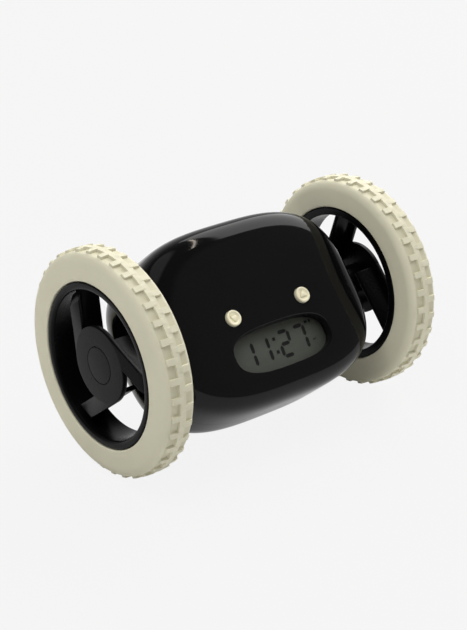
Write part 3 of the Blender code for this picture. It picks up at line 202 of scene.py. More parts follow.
def circle(radius, count=48):
    angles = np.arange(count) * math.tau / count
    return np.stack([radius * np.cos(angles), radius * np.sin(angles)], axis=1)


def face_ring(outline, out, x=0.0, up=0.0):
    """A flat outline set square to the face, at a distance out from the axle."""
    return np.stack([outline[:, 0] + x, np.full(len(outline), -out), outline[:, 1] + up], axis=1)


def face_solid(outline, outs, x=0.0, up=0.0):
    """A straight solid with the outline's shape between two distances out from the axle."""
    return loft([face_ring(outline, out, x, up) for out in outs])


def side_rod(x_start, x_end, radius, count=48):
    """A rod along the axle's line."""
    ring = circle(radius, count)
    return loft([np.stack([np.full(count, x), ring[:, 0], ring[:, 1]], axis=1) for x in (x_start, x_end)])


def housing_block(x_range, out_range, up_range):
    return block((x_range[0], -out_range[0], up_range[0]), (x_range[1], -out_range[1], up_range[1]))


def superellipse(half_width, half_height, power, count=96):
    angles = (np.arange(count) + 0.5) * math.tau / count
    c, s = np.cos(angles), np.sin(angles)
    return np.stack([np.sign(c) * np.abs(c) ** (2 / power) * half_width,
                     np.sign(s) * np.abs(s) ** (2 / power) * half_height], axis=1)


def shade(mesh, angle=35):
    """Smooth shading that breaks at edges sharper than the angle."""
    mesh.shade_smooth()
    mesh.set_sharp_from_angle(angle=math.radians(angle))
    return mesh


def follow_skin(mesh):
    """Gives the outer skin the exact normals of the housing's form, so that reflections run true."""
    shade(mesh, 30)
    points = np.empty(len(mesh.vertices) * 3)
    mesh.vertices.foreach_get("co", points)
    normals, distance = housing_normals(points.reshape(-1, 3))
    given = np.zeros((len(mesh.loops), 3))
    for face in mesh.polygons:
        corners = list(face.vertices)
        aligned = Vector(normals[corners].mean(axis=0)).dot(face.normal) > 0.9
        if aligned and distance[corners].max() < SKIN_NEAR:
            for loop, corner in zip(face.loop_indices, corners):
                given[loop] = normals[corner]
    mesh.normals_split_custom_set([tuple(row) for row in given])
    return mesh


DISPLAY_HALF_WIDTH = 0.0235
DISPLAY_HALF_HEIGHT = 0.00875
DISPLAY_UP = -0.0183
DISPLAY_POWER = 2.8
RECESS_FLOOR = 0.0172
BEZEL_WALL = 0.0015
LIP = ((-0.0012, 0.0), (-0.00075, 0.00003), (-0.0005, 0.0001), (-0.0003, 0.0002), (-0.00015, 0.00034),
       (-0.00005, 0.0005), (0.0, 0.0007), (0.002, 0.0007))
EYE_X = 0.0174
EYE_UP = -0.00316
EYE_HOLE = 0.00335
EYE_SINK = ((-0.004, 0.0), (-0.0004, 0.0), (-0.0002, 0.00006), (-0.00008, 0.00016), (0.0, 0.00034),
            (0.002, 0.00034))
BUSH_HOLE = 0.00435


def display_outline(margin):
    return superellipse(DISPLAY_HALF_WIDTH + margin, DISPLAY_HALF_HEIGHT + margin, DISPLAY_POWER)


skin = housing_form(0, *SKIN_GRID)
core = housing_form(WALL, *CORE_GRID)
tube = face_solid(display_outline(BEZEL_WALL), (RECESS_FLOOR, FACE_OUT - WALL / 2), up=DISPLAY_UP)
opening = loft([face_ring(display_outline(flare), FACE_OUT + depth, up=DISPLAY_UP)
                for depth, flare in ((-2.5 * WALL, 0.0), *LIP)])
eye_holes = [loft([face_ring(circle(EYE_HOLE + flare), FACE_OUT + depth, side * EYE_X, EYE_UP)
                   for depth, flare in EYE_SINK]) for side in (-1, 1)]
front = carve(skin.copy(),
              ("DIFFERENCE", core.copy()),
              ("DIFFERENCE", housing_block((-FAR, FAR), (-FAR, SEAM / 2), (-FAR, FAR))),
              ("DIFFERENCE", side_rod(-FAR, FAR, BUSH_HOLE)),
              ("UNION", tube),
              ("DIFFERENCE", opening),
              *[("DIFFERENCE", hole) for hole in eye_holes])
follow_skin(front)


class Value:
    """A number that changes over a surface, so that shader maths reads as a plain sum."""

    def __init__(self, finish, socket):
        self.finish = finish
        self.socket = socket

    def maths(self, operation, first, second):
        return self.finish.node("ShaderNodeMath", {"operation": operation}, {0: first, 1: second})

    def __add__(self, other):
        return self.maths("ADD", self, other)

    def __radd__(self, other):
        return self.maths("ADD", other, self)

    def __sub__(self, other):
        return self.maths("SUBTRACT", self, other)

    def __rsub__(self, other):
        return self.maths("SUBTRACT", other, self)

    def __mul__(self, other):
        return self.maths("MULTIPLY", self, other)

    def __rmul__(self, other):
        return self.maths("MULTIPLY", other, self)

    def __gt__(self, other):
        return self.maths("GREATER_THAN", self, other)

    def __lt__(self, other):
        return self.maths("LESS_THAN", self, other)


class Finish:
    """A material or another node tree, with one method that adds a node of any type."""

    def __init__(self, name, constants=None):
        self.material = bpy.data.materials.new(name)
        self.material.use_nodes = True
        self.tree = self.material.node_tree
        self.shader = self.tree.nodes["Principled BSDF"]
        for key, value in (constants or {}).items():
            self.shader.inputs[key].default_value = value

    def node(self, kind, settings=None, values=None, output=0):
        node = self.tree.nodes.new(kind)
        for key, value in (settings or {}).items():
            if key == "stops":
                while len(node.color_ramp.elements) < len(value):
                    node.color_ramp.elements.new(1)
                for element, (position, colour) in zip(node.color_ramp.elements, value):
                    element.position = position
                    element.color = (*colour, 1)
            else:
                setattr(node, key, value)
        for key, value in (values or {}).items():
            if isinstance(value, Value):
                self.tree.links.new(value.socket, node.inputs[key])
            else:
                node.inputs[key].default_value = value
        return Value(self, node.outputs[output])

    def place(self):
        """Where a point lies on the piece itself, in metres."""
        return self.node("ShaderNodeTexCoord", output=3)

    def noise(self, scale, detail=2.0, place=None):
        return self.node("ShaderNodeTexNoise", None, {"Vector": place or self.place(), "Scale": scale,
                                                      "Detail": detail})

    def blend(self, share, first, second):
        """A colour between two others."""
        first, second = [(*value, 1) if isinstance(value, tuple) else value for value in (first, second)]
        return self.node("ShaderNodeMix", {"data_type": "RGBA"}, {0: share, 6: first, 7: second}, 2)

    def axis(self, number, place=None):
        """One coordinate of a point on the piece."""
        return self.node("ShaderNodeSeparateXYZ", None, {0: place or self.place()}, number)

    def bump(self, height, distance, strength=1.0):
        self.wear(Normal=self.node("ShaderNodeBump", None, {"Height": height, "Distance": distance,
                                                           "Strength": strength}))
        return self

    def wear(self, **looks):
        """Links looks to the shader's sockets, whose names are written with _ for a space."""
        for key, value in looks.items():
            self.tree.links.new(value.socket, self.shader.inputs[key.replace("_", " ")])
        return self


def tone(red, green, blue):
    """A colour in the shader's own scale from the values that a screen shows."""
    return tuple(((value / 255 + 0.055) / 1.055) ** 2.4 if value > 10 else value / 255 / 12.92
                 for value in (red, green, blue))


def moulded(name, colour, roughness, shine, grain, depth):
    """Moulded plastic: a slightly uneven colour and polish, with a fine grain from the tool."""
    finish = Finish(name, {"Specular IOR Level": shine})
    cloud = finish.noise(70.0, 3.0)
    darker = tuple(0.86 * value for value in colour)
    finish.wear(Base_Color=finish.blend(cloud, darker, tuple(min(1, 1.1 * value) for value in colour)),
                Roughness=roughness * 0.75 + cloud * (roughness * 0.5))
    return finish.bump(finish.noise(grain, 4.0), depth)


def piece(name, mesh, finish, body, nodes=(), place=None):
    """Puts a finished piece on its body, in place of the CAD nodes that it stands for.

    A mesh without a place of its own is drawn in the housing's frame, which leans back with the face.
    """
    item = bpy.data.objects.new(name, mesh)
    bpy.context.collection.objects.link(item)
    mesh.materials.append(finish.material)
    if place is None:
        mesh.transform(HOUSING_PLACE)
    else:
        item.matrix_world = place
    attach(item, body)
    if nodes:
        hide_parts(*nodes)
    return item


gloss_black = moulded("polished_black_abs", (0.0036, 0.0036, 0.0040), 0.06, 0.22, 900.0, 0.0000010)
piece("front_shell_skin", front, gloss_black, "housing", ["front_shell"])

# Rear shell and battery door: the back of the barrel, in the same polished black ABS.
# The door lifts straight off, and its screw and the four case screws sink into round wells.
DOOR_HALF = 0.0265
DOOR_LOW = -0.0290
DOOR_HIGH = 0.0220
DOOR_GAP = 0.00018
DOOR_CORNERS = (0.0022, 0.0020)
DOOR_FRONT = -0.008
DOOR_BOSS_WALL = 0.0008
GRIP_COUNT = 7
GRIP_LOW = -0.0262
GRIP_PITCH = 0.0016
GRIP_HALF = (0.008, 0.0003)
DOOR_SCREW_UP = 0.0181
DOOR_SCREW_HOLE = 0.0014
DOOR_WELL_DEPTH = 0.0028
SCREW_HEAD_RADIUS = 0.0023
SCREW_HEAD_HEIGHT = 0.0015
WELL_RADIUS = 0.0026
WELL_WALL = 0.0010
WELL_END = -0.05
CONTROL_UP = 0.00875
CONTROL_BACK = 0.0296
CONTROL_END = 0.06
CONTROL_X = (-0.0130, -0.0040)
CONTROL_HOLE = 0.0027
SWITCH_X = 0.0090
SWITCH_SLOT = (0.0047, 0.0015)
CASE_SCREWS = [(side * x, up) for x, up in ((0.0310, 0.0245), (0.0385, -0.0215)) for side in (-1, 1)]
CASE_SCREW_SEAT = -0.0070
CASE_POST_FRONT = -0.0006


def skin_depth(x, up):
    """How far behind the axle's plane the back of the housing lies, as a distance out."""
    return -reach(np.array([x, 0.0, up]), np.array([[0.0, 1.0, 0.0]]))[0]


def rounded_frame(half_width, low, high, radius, count=10):
    """A rectangle's outline with round corners."""
    corners = ((half_width, high), (-half_width, high), (-half_width, low), (half_width, low))
    points = []
    for number, (x, up) in enumerate(corners):
        angles = np.radians(90 * number + np.linspace(0, 90, count))
        centre = (x - math.copysign(radius, x), up - math.copysign(radius, up - (low + high) / 2))
        points.append(np.stack([np.cos(angles), np.sin(angles)], axis=1) * radius + centre)
    return np.concatenate(points)


def level_turn(mesh):
    """Turns a mesh made level, straight behind the clock, into the housing's own frame."""
    mesh.transform(Matrix.Rotation(FACE_TILT, 4, "X"))
    return mesh


def level_rod(x, up, start, end, radius, count=40):
    ring = circle(radius, count)
    return level_turn(loft([np.stack([ring[:, 0] + x, np.full(count, y), ring[:, 1] + up], axis=1)
                            for y in (start, end)]))


door_outline, door_block = [
    rounded_frame(DOOR_HALF - gap, DOOR_LOW + gap, DOOR_HIGH - gap, radius)
    for gap, radius in zip((0, DOOR_GAP), DOOR_CORNERS)]
wells = []
for x, up in CASE_SCREWS:
    post = (CASE_POST_FRONT, skin_depth(x, up) + WALL / 2)
    wells += [("UNION", face_solid(circle(WELL_RADIUS + WELL_WALL), post, x, up)),
              ("DIFFERENCE", face_solid(circle(WELL_RADIUS), (CASE_SCREW_SEAT, WELL_END), x, up))]
rear = carve(skin.copy(),
             ("DIFFERENCE", core.copy()),
             ("DIFFERENCE", housing_block((-FAR, FAR), (FAR, -SEAM / 2), (-FAR, FAR))),
             ("DIFFERENCE", side_rod(-FAR, FAR, BUSH_HOLE)),
             ("DIFFERENCE", face_solid(door_outline, (DOOR_FRONT, -FAR))),
             *wells,
             *[("DIFFERENCE", level_rod(x, CONTROL_UP, CONTROL_BACK, CONTROL_END, CONTROL_HOLE))
               for x in CONTROL_X],
             ("DIFFERENCE", level_turn(block(
                 (SWITCH_X - SWITCH_SLOT[0], CONTROL_BACK, CONTROL_UP - SWITCH_SLOT[1]),
                 (SWITCH_X + SWITCH_SLOT[0], CONTROL_END, CONTROL_UP + SWITCH_SLOT[1])))))
piece("rear_shell_skin", follow_skin(rear), gloss_black, "housing", ["rear_shell"])

door_seat = skin_depth(0, DOOR_SCREW_UP) + DOOR_WELL_DEPTH
grips = []
for number in range(GRIP_COUNT):
    up = GRIP_LOW + number * GRIP_PITCH
    behind = -skin_depth(0, up)
    grips.append(("DIFFERENCE", block((-GRIP_HALF[0], behind - GRIP_HALF[1], up - GRIP_HALF[1]),
                                      (GRIP_HALF[0], behind + 0.002, up + GRIP_HALF[1]))))


def door_rod(radius, front, back=WELL_END):
    return face_solid(circle(radius), (front, back), up=DOOR_SCREW_UP)


boss = carve(door_rod(WELL_RADIUS + DOOR_BOSS_WALL, door_seat + WALL),
             ("INTERSECT", housing_form(WALL / 2, *CORE_GRID)))
door = carve(skin,
             ("INTERSECT", face_solid(door_block, (DOOR_FRONT, -FAR))),
             ("DIFFERENCE", core),
             ("UNION", boss),
             ("DIFFERENCE", door_rod(WELL_RADIUS, door_seat, -0.06)),
             ("DIFFERENCE", door_rod(DOOR_SCREW_HOLE, 0.0)),
             *grips)
piece("battery_door_skin", follow_skin(door), gloss_black, "battery_door", ["battery_door"])

# Screws: zinc plated steel with a pan head and a pressed cross recess, driven into the posts.
# Four hold the halves of the case, one the battery door and one each wheel.
THREAD_PITCH = 0.0005
THREAD_CREST = 0.0011
THREAD_ROOT = 0.00085
CROSS_HALF_WIDTH = 0.0003
CASE_SCREW_LENGTH = 0.0130
DOOR_SCREW_LENGTH = 0.0080


def softened(profile, steps=5):
    """A profile whose corners are rounded by the radius that each point gives."""
    points = []
    for number, (radius, height, bend) in enumerate(profile):
        here = Vector((radius, height))
        before = Vector(profile[number - 1][:2]) - here
        after = Vector(profile[(number + 1) % len(profile)][:2]) - here
        if not bend:
            points.append(here)
            continue
        start = here + before.normalized() * min(bend, before.length * 0.49)
        end = here + after.normalized() * min(bend, after.length * 0.49)
        for step in range(steps + 1):
            share = step / steps
            points.append(start * (1 - share) ** 2 + here * 2 * share * (1 - share) + end * share ** 2)
    return points


def turned(profile, segments=64, ring=False):
    """A solid turned about its own Z from (radius, height, corner rounding) points."""
    rings = [np.stack([*(circle(max(point.x, 0.00002), segments).T), np.full(segments, point.y)], axis=1)
             for point in softened(profile)]
    return loft(rings, loop=ring)


def screw(length, head=SCREW_HEAD_HEIGHT):
    """A pan head screw with its head up and its seat at height 0."""
    radius = SCREW_HEAD_RADIUS
    profile = [(0, head, 0), (radius * 0.72, head, 0.0004), (radius, head * 0.45, 0.0005),
               (radius, 0, 0.0001), (0.0010, 0, 0)]
    turns = int(length / THREAD_PITCH)
    for turn in range(turns):
        height = -(turn + 0.5) * length / turns
        profile += [(THREAD_CREST, height, 0), (THREAD_ROOT, height - 0.00022, 0)]
    profile += [(0.0003, -length, 0), (0, -length, 0)]
    cross = []
    for turn in (0, 90):
        arm = loft([[(sx * half_length, sy * CROSS_HALF_WIDTH, head + z)
                     for sx, sy in ((-1, -1), (1, -1), (1, 1), (-1, 1))]
                    for z, half_length in ((-0.0009, 0.0003), (0.0004, 0.0010))])
        arm.transform(Matrix.Rotation(math.radians(turn), 4, "Z"))
        cross.append(("DIFFERENCE", arm))
    return shade(carve(turned(profile, 40), *cross))


steel = Finish("zinc_plated_steel", {"Metallic": 1.0})
lathe = steel.noise(2600.0, 2.0)
steel.wear(Base_Color=steel.blend(steel.noise(300.0), tone(176, 176, 172), tone(206, 205, 200)),
           Roughness=0.24 + lathe * 0.16)
steel.bump(lathe, 0.000004)
BACKWARDS = Matrix.Rotation(math.radians(-90), 4, "X")
for number, (x, up) in enumerate(CASE_SCREWS, 1):
    place = HOUSING_PLACE @ Matrix.Translation((x, FIT - CASE_SCREW_SEAT, up)) @ BACKWARDS
    piece(f"case_screw_{number}_cross", screw(CASE_SCREW_LENGTH), steel, "housing",
          [f"case_screw_{number}"], place)
place = HOUSING_PLACE @ Matrix.Translation((0, FIT - door_seat, DOOR_SCREW_UP)) @ BACKWARDS
piece("door_screw_cross", screw(DOOR_SCREW_LENGTH), steel, "battery_door", ["battery_door_screw"],
      place)

# Display: a liquid crystal cell behind a clear pane, sunk deep in the face.
# The segments are dark electrodes on a grey green ground, leaning to the right.
GLASS_FRONT = 0.0159
GLASS_BACK = 0.0142
GLASS_HALF = (0.0245, 0.0097)
PANE_HALF = (0.0245, 0.00975)
PANE_OUTS = (0.0162, 0.0169)
DIGIT_LOW = -0.0237
DIGIT_HIGH = -0.0125
DIGIT_PITCH = 0.0049
DIGIT_SLANT = 0.096
STROKE = 0.0015
STROKE_GAP = 0.00022
LCD_LIFT = 0.00004
COLON_X = -0.0002
COLON_UPS = (-0.0150, -0.0203)
COLON_SIZE = (0.0014, 0.0014)
SEGMENTS = {"1": "bc", "2": "abged", "7": "abc"}
DIGITS = (("1", -0.01125), ("1", -0.0036), ("2", 0.00705), ("7", 0.0151))

lcd_ground = Finish("liquid_crystal_ground", {"Specular IOR Level": 0.5})
lcd_tone = lcd_ground.noise(45.0, 2.0)
lcd_weave = lcd_ground.noise(5200.0, 1.0)
lcd_ground.wear(Base_Color=lcd_ground.blend(lcd_tone, tone(94, 98, 88), tone(102, 106, 97)),
                Roughness=0.22 + lcd_weave * 0.12)
cell = block((-GLASS_HALF[0], -GLASS_BACK, DISPLAY_UP - GLASS_HALF[1]),
             (GLASS_HALF[0], -GLASS_FRONT, DISPLAY_UP + GLASS_HALF[1]), 0.0002)
piece("liquid_crystal_cell", shade(cell), lcd_ground, "housing", ["display_glass"])


def stroke(start, end):
    """A bar with pointed ends between two places on the glass."""
    start, end = Vector(start), Vector(end)
    along = (end - start).normalized()
    across = Vector((-along.y, along.x)) * STROKE / 2
    start = start + along * STROKE_GAP
    end = end - along * STROKE_GAP
    tip = along * STROKE / 2
    return [start, start + tip + across, end - tip + across, end, end - tip - across, start + tip - across]


def digit_strokes(figure, right):
    middle = (DIGIT_LOW + DIGIT_HIGH) / 2
    left = right - DIGIT_PITCH
    high = DIGIT_HIGH - STROKE / 2
    low = DIGIT_LOW + STROKE / 2
    places = {"a": ((left, high), (right, high)), "b": ((right, high), (right, middle)),
              "c": ((right, middle), (right, low)), "d": ((left, low), (right, low)),
              "e": ((left, middle), (left, low)), "f": ((left, high), (left, middle)),
              "g": ((left, middle), (right, middle))}
    return [stroke(*places[letter]) for letter in SEGMENTS[figure]]


def printed(outlines, out, thickness):
    """Flat marks that lie on the display, each from its own outline."""
    points = []
    faces = []
    for outline in outlines:
        count = len(outline)
        base = len(points)
        for height in (out, out + thickness):
            points += [(x + DIGIT_SLANT * (up - DISPLAY_UP), -height, up) for x, up in outline]
        faces += [tuple(range(base, base + count)), tuple(range(base + count, base + 2 * count))]
        faces += [(base + k, base + (k + 1) % count, base + count + (k + 1) % count, base + count + k)
                  for k in range(count)]
    return mesh_from(points, faces)


def oblong(x, up, width, height):
    return [Vector((x + a * width / 2, up + b * height / 2))
            for a, b in ((-1, -1), (1, -1), (1, 1), (-1, 1))]


marks = [outline for figure, right in DIGITS for outline in digit_strokes(figure, right)]
marks += [oblong(COLON_X, up, *COLON_SIZE) for up in COLON_UPS]
marks += [oblong(0.0172, -0.0127, 0.0014, 0.0010), oblong(0.0191, -0.0128, 0.0008, 0.0012)]
lcd_dark = Finish("liquid_crystal_dark", {"Specular IOR Level": 0.4})
lcd_dark.wear(Base_Color=lcd_dark.blend(lcd_dark.noise(900.0), tone(6, 7, 6), tone(13, 14, 12)),
              Roughness=0.25 + lcd_dark.noise(4000.0) * 0.1)
piece("display_digits", printed(marks, GLASS_FRONT, LCD_LIFT), lcd_dark, "housing")
faint = Finish("liquid_crystal_faint", {"Specular IOR Level": 0.4})
faint.wear(Base_Color=faint.blend(faint.noise(900.0), tone(60, 63, 54), tone(68, 71, 62)),
           Roughness=0.25 + faint.noise(4000.0) * 0.1)
faint_mark = printed([oblong(0.0187, -0.0203, 0.0016, 0.0008)], GLASS_FRONT, LCD_LIFT)
piece("display_faint_mark", faint_mark, faint, "housing")

pane = Finish("clear_acrylic_pane", {"Alpha": 0.10, "Specular IOR Level": 0.5})
pane.wear(Base_Color=pane.blend(pane.noise(60.0), (0.02, 0.02, 0.02), (0.05, 0.05, 0.05)),
          Roughness=0.03 + pane.noise(300.0) * 0.05)
pane_mesh = face_solid(superellipse(*PANE_HALF, DISPLAY_POWER), PANE_OUTS, up=DISPLAY_UP)
piece("display_pane", shade(pane_mesh), pane, "housing", ["display_window"])

# Eye buttons: cream ABS caps on the face, each turned with a raised rim about a dished middle.
# A small triangle stands in the dish with a groove round it, pointing down on the left, up on the right.
EYE_RADIUS = 0.00315
EYE_TOP = FACE_OUT + 0.00115
EYE_DISH = 0.0022
EYE_MARK = 0.0016
EYE_CORNER = ((-10, 0.92), (0, 0.97), (10, 0.92))
EYE_FLANGE_RADIUS = 0.00415
EYE_FLANGE = 0.0010
EYE_STEM_RADIUS = 0.0015
EYE_STEM_END = -0.0075
EYE_MOAT = ((1.20, -0.0007), (1.30, 0.0005))
EYE_TRIANGLE = ((1.05, -0.0009), (1.0, -0.00012), (0.90, 0.0))
eye_cream = moulded("cream_abs", tone(240, 233, 202), 0.34, 0.5, 1500.0, 0.000003)


def eye_button(side):
    """A cap whose top is at height 0, with the flange below that keeps it in the face."""
    flange = FACE_OUT - WALL - FIT - EYE_TOP
    profile = [(0, -0.00042, 0), (EYE_DISH - 0.0002, -0.00040, 0.0003), (EYE_DISH + 0.0002, 0, 0.0002),
               (EYE_RADIUS, 0, 0.0005), (EYE_RADIUS, flange, 0), (EYE_FLANGE_RADIUS, flange, 0.0001),
               (EYE_FLANGE_RADIUS, flange - EYE_FLANGE, 0.0001), (EYE_STEM_RADIUS, flange - EYE_FLANGE, 0),
               (EYE_STEM_RADIUS, EYE_STEM_END, 0.0002), (0, EYE_STEM_END, 0)]
    corners = []
    for corner in range(3):
        for spread, share in EYE_CORNER:
            angle = math.radians(90 * side + 120 * corner + spread)
            corners.append((EYE_MARK * share * math.cos(angle), EYE_MARK * share * math.sin(angle)))
    moat, mark = [loft([[(x * share, y * share, height) for x, y in corners] for share, height in steps])
                  for steps in (EYE_MOAT, EYE_TRIANGLE)]
    return shade(carve(turned(profile, 72), ("DIFFERENCE", moat), ("UNION", mark)), 40)


OUTWARDS = Matrix.Rotation(math.radians(90), 4, "X")
for side, name in ((-1, "left"), (1, "right")):
    place = HOUSING_PLACE @ Matrix.Translation((side * EYE_X, -EYE_TOP, EYE_UP)) @ OUTWARDS
    piece(f"{name}_eye_cap", eye_button(side), eye_cream, f"{name}_eye_button", [f"{name}_eye_button"],
          place)

# Tyres: soft cream rubber rings, moulded in one with a rib round the middle of the tread.
# Low bars run from the rib towards each sidewall, half a step apart on the two sides,
# and the floor of the tread between them is painted a little darker, as painted shade in the grooves.
WHEEL_X = 0.06135
HALF_TYRE = 0.00675
TYRE_RADIUS = 0.0445
TREAD_FLOOR = 0.0433
SHOULDER = 0.0043
SHOULDER_DROP = 0.0036
RIB_HEIGHT = 0.0011
RIB_HALF = 0.00150
TREAD_BARS = 38
BAR_HALF = 0.00133
BAR_EDGE = 0.00015
BAR_START = 0.00135
BAR_RUN = 0.0030
BAR_FALL = 0.00025
BAR_END = 0.00464
TREAD_FLANK = 0.00024
TREAD_POINTS_MM = (0, 0.7, 1.15, 1.25, 1.35, 1.45, 1.55, 2.2, 3.1, 3.9, 4.3, 4.4, 4.46, 4.52, 4.58, 4.64,
                   4.8, 5.1, 5.4, 5.7, 5.95, 6.2, 6.4, 6.55, 6.65, 6.72, 6.75)
BAR_POINTS_MM = (-1.5, -1.33, -1.28, -1.23, -1.18, -0.5, 0, 0.5, 1.18, 1.23, 1.28, 1.33, 1.5)
TYRE_SIDE = ((0.0390, HALF_TYRE), (0.0360, HALF_TYRE), (0.0334, HALF_TYRE), (0.0329, HALF_TYRE - 0.00006),
             (0.0327, HALF_TYRE - 0.0002), (0.0326, HALF_TYRE - 0.0005), (0.0326, 0.0))
# Where the painted shade lies on the tread's floor: radii from the axle, and half the width across.
GROOVE_SHADE_RADII = (0.0431, 0.0438)
GROOVE_SHADE_HALF = 0.0046
SIDEWAYS = Matrix(((0, 0, -1), (-1, 0, 0), (0, 1, 0))).to_4x4()
SIDEWAYS_RIGHT = Matrix(((0, 0, 1), (-1, 0, 0), (0, -1, 0))).to_4x4()
ARM_ANGLES = (98.5, 72.0)
WHEELS = ((-1, "left", SIDEWAYS, ARM_ANGLES[0]), (1, "right", SIDEWAYS_RIGHT, ARM_ANGLES[1]))


def eased(value):
    value = np.clip(value, 0, 1)
    return value * value * (3 - 2 * value)


def tyre_base(z):
    """The tread's floor across the tyre: level, then rounding over into the sidewalls."""
    turn = np.clip((np.abs(z) - SHOULDER) / (HALF_TYRE - SHOULDER), 0, 1)
    return TREAD_FLOOR - SHOULDER_DROP * (1 - np.sqrt(1 - turn ** 2))


def tyre():
    half = np.array(TREAD_POINTS_MM) / 1000
    across = np.concatenate([-half[:0:-1], half])
    offsets = np.array(BAR_POINTS_MM) / 1000
    step = math.tau / TREAD_BARS
    angles = []
    bars = []
    for number in range(2 * TREAD_BARS):
        middle = (number // 2 + (0.25 if number % 2 else -0.25)) * step
        angles.append(middle + offsets / TYRE_RADIUS)
        bars.append(np.where(number % 2, 1, -1) * eased((BAR_HALF - np.abs(offsets)) / BAR_EDGE))
    angles = np.concatenate(angles)
    bars = np.concatenate(bars)
    base = tyre_base(across)[None, :]
    away = np.abs(across)[None, :]
    rib = RIB_HEIGHT * eased((RIB_HALF - away) / TREAD_FLANK)
    slope = TYRE_RADIUS - BAR_FALL * np.clip((away - BAR_START) / BAR_RUN, 0, 1) - base
    bar = slope * eased((BAR_END - away) / TREAD_FLANK)
    mine = np.where(np.sign(across)[None, :] == np.sign(bars)[:, None], np.abs(bars)[:, None], 0)
    radius = base + np.maximum(rib, bar * mine)
    inner = [*TYRE_SIDE, *[(r, -z) for r, z in reversed(TYRE_SIDE[:-1])]]
    radii = np.concatenate([radius, np.tile([r for r, z in inner], (len(angles), 1))], axis=1)
    heights = np.concatenate([across, [z for r, z in inner]])
    rings = np.stack([radii * np.cos(angles)[:, None], radii * np.sin(angles)[:, None],
                      np.tile(heights, (len(angles), 1))], axis=2)
    return shade(loft(rings, loop=True), 50)


rubber = Finish("cream_rubber", {"Specular IOR Level": 0.25})
rubber_cloud = rubber.noise(90.0, 3.0)
rubber_grain = rubber.noise(3200.0, 3.0)
from_axle = rubber.axis(0) * rubber.axis(0) + rubber.axis(1) * rubber.axis(1)
from_middle = rubber.axis(2) * rubber.axis(2)
# Painted shade: the tread's floor between the bars is coloured darker, where a shadow would fall.
painted_groove_shade = ((from_axle < GROOVE_SHADE_RADII[1] ** 2) * (from_axle > GROOVE_SHADE_RADII[0] ** 2)
        * (from_middle < GROOVE_SHADE_HALF ** 2))
rubber_own_colour = rubber.blend(rubber_cloud, tone(216, 212, 187), tone(224, 220, 196))
rubber.wear(Base_Color=rubber.blend(painted_groove_shade * 0.35, rubber_own_colour, tone(192, 187, 160)),
            Roughness=0.52 + rubber_grain * 0.2)
rubber.bump(rubber_grain, 0.00001, 0.6)
tread = tyre()
for side, name, turn, angle in WHEELS:
    place = Matrix.Translation((side * WHEEL_X, 0, AXLE_HEIGHT)) @ turn
    piece(f"{name}_tyre_rubber", tread.copy(), rubber, f"{name}_wheel", [f"{name}_tyre"],
          place)

# Rims: satin black plastic, moulded in one. Three flat arms leave the hub disc at a tangent, slope
# inwards and end in the ring, with a stiffening web behind each, and a cap covers the wheel's screw.
RIM_RADIUS = 0.0322
RING_INNER = 0.0292
RIM_FACE = HALF_TYRE - 0.0002
PLATE_TOP = HALF_TYRE - 0.0015
PLATE_LOW = PLATE_TOP - 0.0020
WEB_LOW = HALF_TYRE - 0.0126
DISC_RADIUS = 0.0152
ARM_WIDTH = 0.0067
ARM_SLOPE_START = 0.0250
ARM_SLOPE_DROP = 0.0022
WEB_WIDTH = 0.0018
WEB_TOP = PLATE_LOW + 0.0010
RING_BITE = 0.0003
NUDGE = 0.00002
BOSS_RADIUS = 0.0060
CAP_RADIUS = 0.0071
CAP_GAP = 0.00018
CAP_MOUTH = 0.00035
CAP_DEPTH = 0.0012
CAP_FLOOR = PLATE_TOP - 0.0015
HEAD_FLOOR = CAP_FLOOR - 0.0018
AXLE_END = 0.00025
AXLE_SOCKET = 0.0023
SCREW_HOLE = 0.0014
WHEEL_SCREW = (0.0052, 0.0012)


